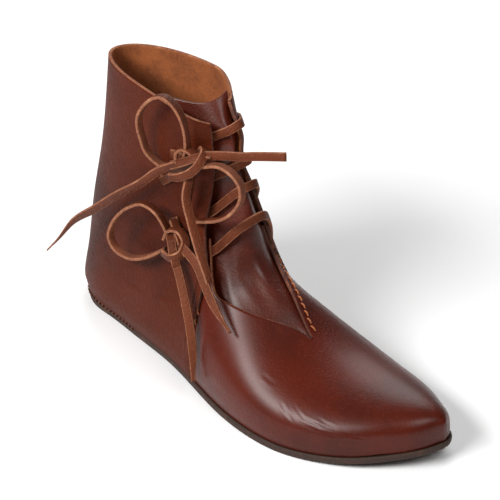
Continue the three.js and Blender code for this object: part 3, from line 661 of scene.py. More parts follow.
class Look:
    """A node material under construction. A value is a number, a colour or another node's output."""

    def __init__(self, name):
        self.material = bpy.data.materials.new(name)
        self.material.use_nodes = True
        self.tree = self.material.node_tree
        self.shader = self.tree.nodes["Principled BSDF"]
        self.place = self.tree.nodes.new("ShaderNodeTexCoord").outputs["Object"]

    def fill(self, socket, value):
        if isinstance(value, bpy.types.NodeSocket):
            self.tree.links.new(value, socket)
        else:
            socket.default_value = value

    def set(self, node=None, **values):
        """Fills the inputs of a node, or of the shader."""
        for name, value in values.items():
            self.fill((node or self.shader).inputs[name.replace("_", " ")], value)

    def add(self, kind, **values):
        node = self.tree.nodes.new("ShaderNode" + kind)
        self.set(node, **values)
        return node

    def noise(self, scale, detail=3.0, rough=0.5, warp=0.0, stretch=None, turn=None):
        place = self.place
        if stretch is not None:
            turned = [math.radians(a) for a in turn]
            place = self.add("Mapping", Vector=place, Scale=stretch, Rotation=turned).outputs["Vector"]
        node = self.add("TexNoise", Vector=place, Scale=scale, Detail=detail, Roughness=rough)
        self.set(node, Distortion=warp)
        return node.outputs["Fac"]

    def cells(self, scale, feature="F1"):
        node = self.add("TexVoronoi")
        node.feature = feature
        self.set(node, Vector=self.place, Scale=scale)
        return node.outputs["Distance"]

    def ramp(self, source, low=0.0, high=1.0, start=0.0, end=1.0):
        """A soft step between two values of the source."""
        node = self.add("MapRange")
        node.interpolation_type = "SMOOTHSTEP"
        self.set(node, Value=source, From_Min=low, From_Max=high, To_Min=start, To_Max=end)
        return node.outputs["Result"]

    def blend(self, share, first, second):
        node = self.add("Mix")
        node.data_type = "RGBA"
        for place, value in ((MIX_SHARE, share), (MIX_FIRST, first), (MIX_SECOND, second)):
            self.fill(node.inputs[place], value)
        return node.outputs[MIX_RESULT]

    def total(self, first, second):
        node = self.add("Math")
        node.operation = "ADD"
        self.fill(node.inputs[0], first)
        self.fill(node.inputs[1], second)
        return node.outputs[0]

    def mark(self, most):
        """The painted shade in the creases and seam grooves, up to a most."""
        node = self.add("Attribute")
        node.attribute_name = "mark"
        return self.ramp(node.outputs["Fac"], end=most)

    def bump(self, height, distance, strength, under=None):
        node = self.add("Bump", Height=height, Distance=distance, Strength=strength)
        if under is not None:
            self.set(node, Normal=under)
        return node.outputs["Normal"]


GLOSS_SPREAD = 0.15


def grain_leather(name, base, deep, light, gloss, coat, shine):
    """Smooth dyed leather: cloudy dye, a fine pebbled grain, pores and soft wrinkles, waxed, and painted
    shade in its creases and seam grooves.
    """
    look = Look(name)
    clouds = look.noise(scale=18, detail=4, rough=0.55)
    mottle = look.noise(scale=240, detail=4, rough=0.6)
    specks = look.cells(scale=700)
    colour = look.blend(look.ramp(clouds, low=0.3, high=0.62), tint(*deep), tint(*base))
    colour = look.blend(look.ramp(mottle, low=0.5, high=0.8, end=0.3), colour, tint(*light))
    colour = look.blend(look.ramp(specks, high=0.3, start=0.3, end=0.0), colour, tint(*deep))
    # Painted shade: the grain darkened in its creases and seam grooves
    colour = look.blend(look.mark(most=0.85), colour, tint(22, 9, 6))
    wrinkles = look.noise(scale=95, detail=5, rough=0.62, warp=1.2, stretch=(1.0, 1.5, 2.2), turn=(0, 12, 20))
    normal = look.bump(wrinkles, distance=0.0004, strength=0.35)
    pebbles = look.cells(scale=950, feature="SMOOTH_F1")
    normal = look.bump(pebbles, distance=0.00045, strength=0.9, under=normal)
    normal = look.bump(look.noise(scale=2100, rough=0.6), distance=0.00018, strength=0.8, under=normal)
    worn = look.noise(scale=330, detail=4, rough=0.7)
    wear = look.ramp(worn, low=0.3, high=0.75, start=gloss, end=gloss + GLOSS_SPREAD)
    rough = look.total(wear, look.mark(most=0.2))
    look.set(Base_Color=colour, Roughness=rough, Normal=normal, Coat_Weight=coat, Coat_Roughness=0.32)
    look.set(IOR=1.48, Specular_IOR_Level=shine, Specular_Tint=tint(255, 214, 186))
    return look.material


def flesh_leather(name, base, deep, light):
    """The napped side of the leather: loose short fibres and cloudy colour, and painted shade in its creases
    and seam grooves.
    """
    look = Look(name)
    clouds = look.noise(scale=60, detail=5, rough=0.65)
    nap = look.noise(scale=900, detail=5, rough=0.75, warp=0.8)
    colour = look.blend(look.ramp(clouds, low=0.3, high=0.7), tint(*deep), tint(*base))
    colour = look.blend(look.ramp(nap, low=0.45, high=0.72, end=0.6), colour, tint(*light))
    # Painted shade: the flesh side darkened in its creases and seam grooves
    colour = look.blend(look.mark(most=0.9), colour, tint(40, 20, 12))
    normal = look.bump(nap, distance=0.0004, strength=0.7)
    normal = look.bump(look.noise(scale=2600, rough=0.6), distance=0.0002, strength=0.6, under=normal)
    look.set(Base_Color=colour, Roughness=0.93, Normal=normal)
    look.set(Sheen_Weight=0.35, Sheen_Roughness=0.5, Sheen_Tint=tint(*light))
    return look.material


def cut_edge(name, base, deep, light):
    """A raw cut edge: layers of fibre along it."""
    look = Look(name)
    fibres = look.noise(scale=700, detail=5, rough=0.7, warp=0.4)
    stains = look.noise(scale=130, detail=4, rough=0.6)
    colour = look.blend(look.ramp(fibres, low=0.35, high=0.7), tint(*deep), tint(*base))
    colour = look.blend(look.ramp(stains, low=0.5, high=0.75, end=0.6), colour, tint(*light))
    look.set(Base_Color=colour, Roughness=0.8, Normal=look.bump(fibres, distance=0.0003, strength=0.7))
    return look.material


def thread_look(name, base, deep):
    """Waxed linen thread with a twist."""
    look = Look(name)
    twist = look.noise(scale=1500, rough=0.6, stretch=(1.0, 1.0, 3.0), turn=(20, 0, 30))
    colour = look.blend(look.ramp(twist, low=0.35, high=0.65), tint(*deep), tint(*base))
    look.set(Base_Color=colour, Roughness=0.6, Normal=look.bump(twist, distance=0.0002, strength=0.7))
    return look.material


# Base, deep and light colour, then the gloss, the wax and the shine of the smooth sides
vamp_grain = grain_leather(
    "vamp_grain", (78, 19, 4), (56, 12, 3), (98, 30, 11), gloss=0.36, coat=0.46, shine=0.07)
quarter_grain = grain_leather(
    "quarter_grain", (76, 29, 14), (56, 19, 10), (94, 41, 22), gloss=0.46, coat=0.08, shine=0.04)
tongue_grain = grain_leather(
    "tongue_grain", (80, 24, 11), (58, 15, 7), (102, 38, 22), gloss=0.32, coat=0.6, shine=0.15)
suede = flesh_leather("upper_flesh", (150, 82, 38), (112, 57, 25), (176, 104, 54))
insole_suede = flesh_leather("insole_flesh", (112, 62, 32), (74, 40, 22), (136, 82, 46))
raw_edge = cut_edge("upper_edge", (150, 88, 50), (104, 54, 30), (186, 126, 84))
dark_edge = cut_edge("seam_edge", (96, 48, 28), (60, 27, 15), (132, 76, 46))
sole_grain = grain_leather(
    "sole_grain", (50, 34, 25), (32, 21, 16), (78, 56, 42), gloss=0.6, coat=0.0, shine=0.1)
sole_edge = cut_edge("sole_edge", (62, 38, 26), (40, 24, 17), (92, 60, 42))
thong_grain = grain_leather(
    "thong_grain", (94, 44, 25), (66, 28, 16), (124, 68, 44), gloss=0.5, coat=0.0, shine=0.3)
thong_flesh = flesh_leather("thong_flesh", (116, 58, 29), (82, 38, 19), (146, 84, 48))
thong_edge = cut_edge("thong_edge", (148, 90, 58), (106, 60, 36), (182, 126, 90))
tan_thread = thread_look("tan_thread", (176, 100, 50), (126, 66, 32))
dark_thread = thread_look("dark_thread", (112, 62, 38), (66, 34, 22))
THONG_LOOKS = [thong_grain, thong_flesh, thong_edge]


# The thongs: loops and ends are free cords, made first


def make_cord(name, turn, rows):
    """One loop or end of a thong. Loops show their flesh side, ends their grain."""
    path, across, share = route(rows, turn)
    left, reach = CORD_TAPERS.get(name, (1.0, 1.0))
    taper = mix(1.0, left, smooth((share - (1 - reach)) / reach))
    thong = strap(path, across, grain_up=name not in LOOPS, taper=taper)
    strap_piece(f"thong_{name[5:]}", [thong], name)


for cord_name, (cord_turn, cord_rows) in CORD_ROUTES.items():
    make_cord(cord_name, cord_turn, cord_rows)


# The knots: one thong wrapped over the others

# Places right, up and towards the camera, in millimetres from the knot's middle
KNOT_STRAPS = {
    "upper": [
        [[3.0, 5.0, -2.0], [5.0, 8.8, 1.0], [6.2, 6.6, 6.0], [4.6, 2.6, 9.2], [1.6, -1.8, 9.0],
         [-3.1, -5.2, 6.4], [-9.4, -6.8, 2.4], [-13.6, -6.4, 0.4]],
        [[-13.0, 0.0, -4.4], [-9.2, 0.6, -0.6], [-4.0, 1.8, 3.6], [1.0, 3.4, 6.0], [6.3, 4.9, 6.2],
         [10.0, 4.9, 8.2]],
        [[-10.0, 3.6, -2.0], [-9.4, 7.4, 0.4], [-6.0, 9.0, 2.0], [-2.6, 7.8, 3.0], [0.6, 5.2, 3.0]],
    ],
    "lower": [
        [[-1.0, 14.5, 0.0], [1.0, 9.5, 2.6], [3.0, 4.6, 4.4], [4.6, -0.5, 5.4], [7.4, -4.5, 7.2]],
        [[-6.0, 4.4, -2.0], [-3.4, 9.0, 2.4], [2.6, 8.6, 5.8], [6.2, 2.4, 7.4], [3.6, -4.4, 7.2],
         [-2.6, -6.4, 4.6], [-7.4, -3.4, 0.0]],
        [[-3.0, 7.0, 0.6], [-1.6, 2.6, 5.0], [-0.8, -2.6, 6.4], [0.2, -6.4, 5.0], [1.0, -11.0, 3.4]],
    ],
}
KNOT_STEP = 0.8
KNOT_BALL = 2.5


def knot_strap(centre, rows):
    """A short piece of thong over the knot. It lies flat on the knot's ball."""
    path, _ = resample(catmull(rows), KNOT_STEP)
    place = centre + path @ np.stack([RIGHT, UP, BACK])
    out = unit(place - centre + KNOT_BALL * BACK)
    return strap(place, unit(np.cross(out, unit(np.gradient(place, axis=0)))))


for bow, knot_centre in KNOTS.items():
    straps = [knot_strap(knot_centre, rows) for rows in KNOT_STRAPS[bow]]
    strap_piece(f"knot_{bow}", straps, f"lace_{bow}_knot")


# The lace bars over the tongue

SNUG = 0.35
OVER_DEPTH = -(QUARTER_STEP + SNUG + THONG_THICKNESS / 2)
UNDER_DEPTH = LEATHER + LACE_CLEARANCE + THONG_THICKNESS / 2
RUN_DEPTH = UNDER_DEPTH + 0.6
PASS_RADIUS = (UNDER_DEPTH - OVER_DEPTH) / 2
PASS_MIDDLE = (UNDER_DEPTH + OVER_DEPTH) / 2
INNER_TURN = 0.72
EDGE_PLACE = 0.36
RISE_SHARE = 0.09
BAR_ENDS = 0.05
BAR_STEPS = 60
ARC_STEPS = 13
BEND_STEPS = 7
RUN_REACH = 0.08
RUN_STEPS = 40
LEAD_ARCH = 0.4


def hole_frame(along, around, towards):
    """A lace hole: its place, the way out, the lace's run there and the way across it."""
    point = last_point(along, around)
    out = outwards(along, around)
    run = towards - point
    run = unit(run - out * np.dot(run, out))
    return point, out, run, np.cross(out, run)


def bar_strap(row):
    """One bar, from the outer hole under the quarter's edge, over the tongue and in."""
    edge = last_point(row[3], row[4])
    point, out, run, side = hole_frame(row[1], row[2], edge)
    path = []
    for angle in np.linspace(0, math.pi, ARC_STEPS):
        above = math.cos(angle) * PASS_RADIUS - PASS_MIDDLE
        path.append(point - run * math.sin(angle) * PASS_RADIUS + out * above)
    across = [side] * ARC_STEPS
    knots_at = [0, EDGE_PLACE, 1]
    share = np.linspace(BAR_ENDS, 1 - BAR_ENDS, BAR_STEPS)
    along = spline(knots_at, [row[1], row[3], row[5]])(share)
    around = spline(knots_at, [row[2], row[4], row[6]])(share)
    past = (around - outer_edge_at(along)) / RISE_SHARE
    depth = mix(UNDER_DEPTH, OVER_DEPTH, smooth(past))
    ways_out = outwards(along, around)
    middle = last_point(along, around) - ways_out * depth[:, None]
    path.extend(middle)
    across.extend(unit(np.cross(ways_out, np.gradient(middle, axis=0))))
    radius = PASS_RADIUS * INNER_TURN
    point, out, run, side = hole_frame(row[5], row[6], edge)
    turns = np.linspace(0, math.pi / 2, BEND_STEPS)
    bends = [(radius * math.sin(a) - radius, PASS_RADIUS - radius + radius * math.cos(a)) for a in turns]
    bends += [(radius - radius * math.cos(a), radius - PASS_RADIUS - radius * math.sin(a)) for a in turns]
    for ahead, above in bends:
        path.append(point - run * ahead + out * (above - PASS_MIDDLE))
        across.append(-side)
    return strap(np.array(path), np.array(across))


def inner_run(first, second):
    """The thong inside the inner quarter, between the two holes of a bow."""
    share = np.linspace(-RUN_REACH, 1 + RUN_REACH, RUN_STEPS)
    along = mix(first[5], second[5], share)
    around = mix(first[6], second[6], share)
    ways_out = outwards(along, around)
    path = last_point(along, around) - ways_out * RUN_DEPTH
    return strap(path, unit(np.cross(ways_out, np.gradient(path, axis=0))))


def hole_lead(row):
    """The thong from the knot to its hole in the outer quarter."""
    point, out, _, _ = hole_frame(row[1], row[2], last_point(row[3], row[4]))
    hole = point - out * OVER_DEPTH
    centre = KNOTS[row[0]]
    lead = hole - centre
    lead = unit(lead - out * np.dot(lead, out))
    near = hole - lead * THONG_WIDTH / 2
    far = hole + lead * THONG_WIDTH / 2
    path, _ = resample(catmull([centre, mix(centre, near, 0.5) + out * LEAD_ARCH, near, far]), KNOT_STEP)
    return strap(path, np.repeat(np.cross(out, lead)[None], len(path), axis=0))


for bow in KNOTS:
    pair = [row for row in BAR_ROWS if row[0] == bow]
    bar_parts = [bar_strap(row) for row in pair] + [hole_lead(row) for row in pair] + [inner_run(*pair)]
    strap_piece(f"bars_{bow}", bar_parts, f"lace_{bow}_bars")


# Creases: along and around, then how deep and how wide each is and how high its banks, in millimetres. The
# depth also sets how dark the painted shade in each crease is.

VAMP_CREASES = [
    ([(0.310, 0.350), (0.300, 0.352), (0.286, 0.352), (0.271, 0.356)], 0.16, 0.8, 0.12),
    ([(0.255, 0.330), (0.242, 0.316), (0.227, 0.302), (0.215, 0.285)], 0.12, 0.7, 0.10),
    ([(0.232, 0.340), (0.220, 0.328), (0.207, 0.316), (0.196, 0.300)], 0.09, 0.6, 0.07),
    ([(0.215, 0.318), (0.195, 0.309), (0.175, 0.301), (0.160, 0.285)], 0.12, 0.7, 0.10),
    ([(0.185, 0.330), (0.170, 0.318), (0.152, 0.308), (0.138, 0.296)], 0.08, 0.6, 0.07),
    ([(0.200, 0.290), (0.175, 0.280), (0.150, 0.270), (0.119, 0.259)], 0.10, 0.7, 0.08),
    ([(0.150, 0.252), (0.130, 0.246), (0.105, 0.232), (0.078, 0.201)], 0.10, 0.7, 0.08),
    ([(0.140, 0.285), (0.122, 0.276), (0.104, 0.262), (0.090, 0.246)], 0.08, 0.6, 0.07),
    ([(0.125, 0.215), (0.100, 0.196), (0.085, 0.160), (0.071, 0.116)], 0.08, 0.7, 0.07),
]
CREASE_STEPS = 10
CREASE_FADE = 0.3
CREASE_REACH = 6
BANK_PLACE = 2.1


def line_on_last(places):
    """Points close together on a line on the last, through places along and around."""
    fine = catmull(places, CREASE_STEPS)
    return last_point(fine[:, 0], fine[:, 1])


def distances(points, line):
    """How far points lie from a line, and how much the line fades towards its ends there."""
    gap = np.linalg.norm(points[..., None, :] - line, axis=-1)
    share = gap.argmin(axis=-1) / (len(line) - 1)
    return gap.min(axis=-1), smooth(share / CREASE_FADE) * smooth((1 - share) / CREASE_FADE)


def crease_relief_and_shade(points, creases):
    """How far the creases raise or sink each point, and how dark the painted shade in them makes it."""
    height = np.zeros(points.shape[:-1])
    dark = np.zeros(points.shape[:-1])
    for places, deep, wide, ridge in creases:
        line = line_on_last(places)
        middle = line[len(line) // 2]
        reach = np.linalg.norm(line - middle, axis=-1).max() + CREASE_REACH * wide
        ids = np.nonzero(np.linalg.norm(points - middle, axis=-1) < reach)
        far, fade = distances(points[ids], line)
        trough = bell(far, wide)
        height[ids] += fade * (ridge * bell(far - BANK_PLACE * wide, wide) - deep * trough)
        # Painted shade: the crease's trough darkened by its depth
        dark[ids] += fade * trough * deep
    return height, dark


# The vamp

VAMP_LAP = 8
LAP_REACH = 0.05
APEX = 0.483
TOE_GATHER = 1.35
VAMP_FRONT_ROWS = 120
VAMP_BACK_ROWS = 70
VAMP_COLUMNS = 92
SEAM_SLOPE = 3
SEAM_SINK = 1.15
GROOVE_WIDTH = 1.2
GROOVE_DEPTH = 0.25
# How dark the painted shade in the groove at the vamp's side seam is
GROOVE_DARK = 0.8
TOE_DROP = 0.5
TOE_REACH = SECTION_KNOTS[1]
PAINT_NEAR = 0.4
SEAMS = {-1: OUTER_SEAM, 1: INNER_SEAM}
THROAT_EDGES = {-1: outer_edge_at, 1: inner_edge_at}


def half_around(side, along, share):
    """The place around the section at a share of the way from the sole to the throat."""
    edge = np.where(along < THROAT_TOE, APEX, THROAT_EDGES[side](along))
    return share * edge if side < 0 else 1 - share * (1 - edge)


def seam_along(side, share, x):
    """The place along the last of an upright line across a half of the upper."""
    def place(along):
        return half_around(side, along, share)

    def goal(along):
        return last_point(along, place(along))[..., 0] - x

    return solve_along(place, goal, THROAT_TOE, 1.0)


def vamp_grid(side, columns):
    """Places along and around of one half of the vamp."""
    seam = seam_along(side, columns, SEAMS[side])
    back = np.minimum(seam_along(side, columns, SEAMS[side] - VAMP_LAP), seam + LAP_REACH)
    front_share = np.linspace(0, 1, VAMP_FRONT_ROWS)[:, None] ** TOE_GATHER
    front = THROAT_TOE * front_share * np.ones_like(columns)[None]
    rear = mix(THROAT_TOE, back[None], np.linspace(0, 1, VAMP_BACK_ROWS)[1:, None])
    along = np.vstack([front, rear])
    return along, half_around(side, along, columns[None])


def sheet_points(along, around, top_depth, thick):
    """The grain side and the flesh side of a sheet of leather on the last, neither below the sole's top."""
    base = last_point(along, around)
    out = outwards(along, around)
    sides = []
    for depth in (top_depth, top_depth + thick):
        points = base - out * depth[..., None]
        points[..., 2] = np.maximum(points[..., 2], FEATHER_HEIGHT + lift(points[..., 0]))
        sides.append(points)
    return sides


def drop_toe(grid, along, share):
    """Brings the tip of the toe down to the sole, as the last's own tip stands above it."""
    stands = section_at(along)["footZ"] - FEATHER_HEIGHT - lift(grid[..., 0])
    near = (1 - smooth((along - TOE_REACH) / TOE_REACH)) * (1 - smooth(share / TOE_DROP))
    grid[..., 2] -= np.maximum(stands, 0) * near


def paint_shade(obj, painted_shades):
    """Puts the painted shade of the creases and seam grooves on the grain side of a piece, as a point
    attribute.
    """
    places = np.vstack([m[0].reshape(-1, 3) for m in painted_shades]) * MM
    values = np.concatenate([m[1].reshape(-1) for m in painted_shades])
    tree = KDTree(len(places))
    for i, p in enumerate(places):
        tree.insert(p, i)
    tree.balance()
    out = np.zeros(len(obj.data.vertices), dtype=np.float32)
    for i, vertex in enumerate(obj.data.vertices):
        _, index, gap = tree.find(vertex.co)
        if gap < PAINT_NEAR * MM:
            out[i] = values[index]
    obj.data.attributes.new("mark", "FLOAT", "POINT").data.foreach_set("value", out)


def make_vamp():
    """The front of the upper: two halves, and the tip of the toe between them."""
    vamp = Shell()
    painted_shades = []
    toe_rows = []
    columns = np.linspace(0, 1, VAMP_COLUMNS)
    for side, throat_look in ((-1, RAW), (1, DARK)):
        along, around = vamp_grid(side, columns)
        base = last_point(along, around)
        ahead = base[..., 0] - SEAMS[side]
        height, dark = crease_relief_and_shade(base, VAMP_CREASES)
        groove = bell(ahead, GROOVE_WIDTH)
        depth = SEAM_SINK * smooth(-ahead / SEAM_SLOPE) - height + GROOVE_DEPTH * groove
        top, bottom = sheet_points(along, around, depth, LEATHER)
        drop_toe(top, along, columns[None])
        drop_toe(bottom, along, columns[None])
        # Painted shade in the creases and in the groove at the side seam
        painted_shades.append((top, np.clip(dark + GROOVE_DARK * groove, 0, 1)))
        toe_rows.append((top[0], bottom[0]))
        throat = ("high", VAMP_FRONT_ROWS - 1, throat_look)
        vamp.add_sheet(top, bottom, [("end", 0, RAW), ("low", 0, DARK), throat])
    toe_top, toe_bottom = (np.stack([row[k] for row in toe_rows]) for k in (0, 1))
    vamp.add_sheet(toe_top, toe_bottom, [("low", 0, DARK)])
    paint_shade(vamp.build("vamp", [vamp_grain, suede, raw_edge, dark_edge], "upper"), painted_shades)


make_vamp()


# The quarters

QUARTER_ROWS = 150
QUARTER_COLUMNS = 110
QUARTER_THICKNESS = 2.1
# The outer quarter's free edge stands off the tongue between two heights
EDGE_LIFT = 2.2
EDGE_LIFT_START = 0.84
EDGE_LIFT_FROM = 34
EDGE_LIFT_TO = 112
EDGE_LIFT_FADE = 22
DIP_FROM = 0.214 * LENGTH - HEEL_CENTRE
DIP_TO = 0.457 * LENGTH - HEEL_CENTRE
DIP_DEPTH = 0.057 * SHAFT_HEIGHT
DIP_REACH = 1.2
RIM_START = 0.7
RIM_SPARE = 0.01
# The folded seam behind each side seam: how high, how far behind and how wide, then the line between, a
# shallow groove with painted shade in it up to a height
SEAM_RIDGES = [(0.35, 2.0, 0.9), (0.3, 5.0, 1.0)]
LINE_BEHIND = 3.6
LINE_WIDTH = 0.6
LINE_DEPTH = 0.2
LINE_DARK = 0.5
LINE_TOP = 75
QUARTER_CREASES = {
    -1: [
        ([(0.650, 0.245), (0.638, 0.258), (0.620, 0.261), (0.600, 0.268)], 0.3, 1.2, 0.2),
        ([(0.600, 0.275), (0.580, 0.280), (0.562, 0.289), (0.548, 0.300)], 0.3, 1.1, 0.2),
    ],
    1: [],
}


def rim_along(side, share):
    """The place along the last of the collar's rim, with its dip on the outer side."""
    if side > 0:
        return np.ones_like(share)
    top = section_at(np.array(1.0))
    slope = (top["crestZ"] - top["footZ"]) / (top["crestX"] - top["footX"])

    def place(along):
        return half_around(side, along, share)

    def goal(along):
        p = last_point(along, place(along))
        rim = top["footZ"] + slope * (p[..., 0] - top["footX"])
        part = np.clip((p[..., 0] - DIP_FROM) / (DIP_TO - DIP_FROM), 0, DIP_REACH)
        return rim - DIP_DEPTH * part ** 2 - RIM_SPARE - p[..., 2]

    return solve_along(place, goal, RIM_START, 1.0)


def make_quarter(side, name):
    """One half of the back of the upper, as a sheet from the side seam to the heel and the rim."""
    columns = np.linspace(0, 1, QUARTER_COLUMNS)
    start = seam_along(side, columns, SEAMS[side])
    share = np.linspace(0, 1, QUARTER_ROWS)[:, None]
    along = mix(start[None], rim_along(side, columns)[None], share)
    around = half_around(side, along, columns[None])
    base = last_point(along, around)
    height, dark = crease_relief_and_shade(base, QUARTER_CREASES[side])
    ahead = base[..., 0] - SEAMS[side]
    for tall, behind, wide in SEAM_RIDGES:
        height += tall * bell(ahead + behind, wide)
    if side < 0:
        rising = smooth((base[..., 2] - EDGE_LIFT_FROM) / EDGE_LIFT_FADE)
        window = rising * smooth((EDGE_LIFT_TO - base[..., 2]) / EDGE_LIFT_FADE)
        height += EDGE_LIFT * smooth((columns[None] - EDGE_LIFT_START) / (1 - EDGE_LIFT_START)) * window
    line = bell(ahead + LINE_BEHIND, LINE_WIDTH)
    # Painted shade in the creases and in the groove behind the side seam, below a height
    dark = np.clip(dark + LINE_DARK * line * (base[..., 2] < LINE_TOP), 0, 1)
    top, bottom = sheet_points(along, around, LINE_DEPTH * line - QUARTER_STEP - height, QUARTER_THICKNESS)
    shell = Shell()
    shell.add_sheet(top, bottom, [("start", 0, DARK), ("end", 0, RAW), ("low", 0, DARK), ("high", 0, DARK)])
    paint_shade(shell.build(name, [quarter_grain, suede, raw_edge, dark_edge], "upper"), [(top, dark)])


make_quarter(-1, "outer_quarter")
make_quarter(1, "inner_quarter")


# The tongue

TONGUE_START = THROAT_TOE - 0.03
TONGUE_END = 0.995
TONGUE_INNER_DEPTH = LEATHER + 2 * CLEARANCE
TONGUE_OUTER_DEPTH = UNDER_DEPTH + THONG_THICKNESS / 2 + LACE_CLEARANCE
SINK_RATE = 1.15
TONGUE_ROWS = 190
TONGUE_COLUMNS = 70
TONGUE_COARSE = 11
TONGUE_LEAN = 6
LEAN_START = 0.76
TOP_LAP = 6
TOP_RAISE = 5
RAISE_START = 0.88
EASE_PASSES = 6
EASE_START = 0.58
EASE_END = 0.72
LOW_EASING = 0.06
HIGH_EASING = 0.25
NARROWEST_THROAT = 1e-4
TROUGH_PLACE = 1.9
TROUGH_SHARE = 0.4

# Two long folds: along and around, then height and half width in millimetres
TONGUE_FOLDS = [
    ([(0.700, 0.440), (0.620, 0.430), (0.556, 0.414), (0.500, 0.420), (0.456, 0.432), (0.400, 0.440),
      (0.350, 0.455)], 1.3, 4.2),
    ([(0.640, 0.470), (0.580, 0.452), (0.540, 0.450), (0.480, 0.462), (0.439, 0.476), (0.380, 0.478),
      (0.320, 0.482)], 1.5, 4.4),
]


def folded(points):
    """Long soft folds that stand out of the tongue, with a shallow trough on each side."""
    height = np.zeros(points.shape[:-1])
    for places, tall, wide in TONGUE_FOLDS:
        far, fade = distances(points, line_on_last(places))
        height += fade * tall * (bell(far, wide) - TROUGH_SHARE * bell(far - TROUGH_PLACE * wide, wide))
    return height


def sunk(grid, depth):
    """A grid of points moved in along its own normals."""
    lengthwise = np.gradient(grid, axis=0)
    crosswise = np.gradient(grid, axis=1)
    return grid - unit(np.cross(crosswise, lengthwise)) * depth[..., None]


def eased(grid, reach):
    """Rows of points with their corners eased, the ends of each row held."""
    for _ in range(EASE_PASSES):
        middle = (grid[:, :-2] + grid[:, 2:]) * reach + grid[:, 1:-1] * (1 - 2 * reach)
        grid = np.concatenate([grid[:, :1], middle, grid[:, -1:]], axis=1)
    return grid


def finer(grid, count):
    """Rows of points with more columns, on natural splines."""
    knots_at = np.linspace(0, 1, grid.shape[1])
    at = np.linspace(0, 1, count)
    weights = np.stack([spline(knots_at, row)(at) for row in np.eye(grid.shape[1])], axis=1)
    return np.einsum("fk,rkc->rfc", weights, grid)


def make_tongue():
    """The tongue under the throat, as a smooth sheet. It leans back at its top, under the outer quarter."""
    line = np.linspace(TONGUE_START, TONGUE_END, TONGUE_ROWS)[:, None]
    leaning = smooth((line - LEAN_START) / (1 - LEAN_START))
    outer = outer_edge_at(line)
    inner = inner_edge_at(line)
    low = outer - around_for(line, outer, TONGUE_OUTER_LAP + TOP_LAP * leaning)
    high = inner + around_for(line, inner, TONGUE_INNER_LAP)
    around = mix(low, high, np.linspace(0, 1, TONGUE_COARSE)[None])
    share = (around - outer) / np.maximum(inner - outer, NARROWEST_THROAT)
    depth = mix(TONGUE_OUTER_DEPTH, TONGUE_INNER_DEPTH, smooth(share * SINK_RATE))
    reach = mix(LOW_EASING, HIGH_EASING, smooth((line - EASE_START) / (EASE_END - EASE_START)))[..., None]
    inward = np.clip(share, 0, 1)
    skinned = last_point(line, around)
    skinned[..., 0] -= TONGUE_LEAN * leaning * (1 - inward)
    skinned[..., 2] += TOP_RAISE * inward * smooth((line - RAISE_START) / (1 - RAISE_START))
    above = finer(eased(sunk(eased(skinned, reach), depth), reach), TONGUE_COLUMNS)
    height = folded(above)
    shell = Shell()
    top = sunk(above, -height)
    bottom = sunk(above, TONGUE_THICKNESS - height)
    shell.add_sheet(top, bottom, [("start", 0, DARK), ("end", 0, DARK), ("low", 0, DARK), ("high", 0, DARK)])
    shell.build("tongue_sheet", [tongue_grain, suede, raw_edge, dark_edge], "tongue")


make_tongue()


# The outsole and the insole

SOLE_START = 0.004
SOLE_END = SECTION_KNOTS[max(i for i, s in enumerate(SECTIONS) if s["flatOuter"] > 0) + 1]
SOLE_STATIONS = 150
SOLE_ACROSS = 14
SOLE_FACE = 0
SOLE_RIM = 1
NARROWEST = 1
TURN_IN = 2.4
# The sole's rounded edge, as insets and heights from its foot to its top
SOLE_PROFILE = [
    (1.0, 0.0), (0.35, 0.18), (0.06, 0.7), (0.0, 1.5), (0.0, 2.6), (0.1, 3.4), (0.5, 3.9), (1.1, 4.0),
]


def sole_outline():
    """The sole's outer and inner edge at stations from toe to heel."""
    share = np.linspace(0, 1, SOLE_STATIONS) ** TOE_GATHER
    cut = section_at(mix(SOLE_START, SOLE_END, share))
    kept = cut["flatOuter"] > 0
    edges = []
    for side, name in ((-1, "flatOuter"), (1, "flatInner")):
        line = np.column_stack([cut["footX"], cut["swing"] + side * cut[name]])[kept]
        run = unit(np.gradient(line, axis=0))
        edges.append(line + np.column_stack([run[:, 1], -run[:, 0]]) * side * SOLE_MARGIN)
    wide = edges[1][:, 1] - edges[0][:, 1] > NARROWEST
    return edges[0][wide], edges[1][wide]


def make_outsole():
    """The sole as one tube, with the look of its edge on the two rounded sides."""
    loops = []
    shares = np.linspace(0, 1, SOLE_ACROSS)[1:-1]
    for a, b in zip(*sole_outline()):
        step = (b - a) / max(np.linalg.norm(b - a), TURN_IN)
        left = [(a + step * inset, z) for inset, z in SOLE_PROFILE]
        right = [(b - step * inset, z) for inset, z in SOLE_PROFILE[::-1]]
        top = [(mix(left[-1][0], right[0][0], t), SOLE_THICKNESS) for t in shares]
        base = [(mix(right[-1][0], left[0][0], t), 0.0) for t in shares]
        loops.append([(p[0], p[1], z + lift(p[0])) for p, z in left + top + right + base])
    part_looks = [SOLE_RIM] * (len(SOLE_PROFILE) - 1) + [SOLE_FACE] * (SOLE_ACROSS - 1)
    points, faces, looks = tube_mesh([(np.array(loops, float), part_looks * 2, SOLE_RIM)])
    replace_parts(new_object("sole", points, faces, [sole_grain, sole_edge], looks), "outsole")


make_outsole()
insole_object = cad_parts["insole"]
insole_object.data.materials.clear()
insole_object.data.materials.append(insole_suede)


# Stitches

STITCH_FINE = 0.5
STITCH_STEPS = 7
STITCH_SINK = 1.2
STITCH_LINE_STEPS = 30
THROAT_INSET = 3.2
SEAM_STITCH_AHEAD = 0.6
BACK_AROUND = 0.002


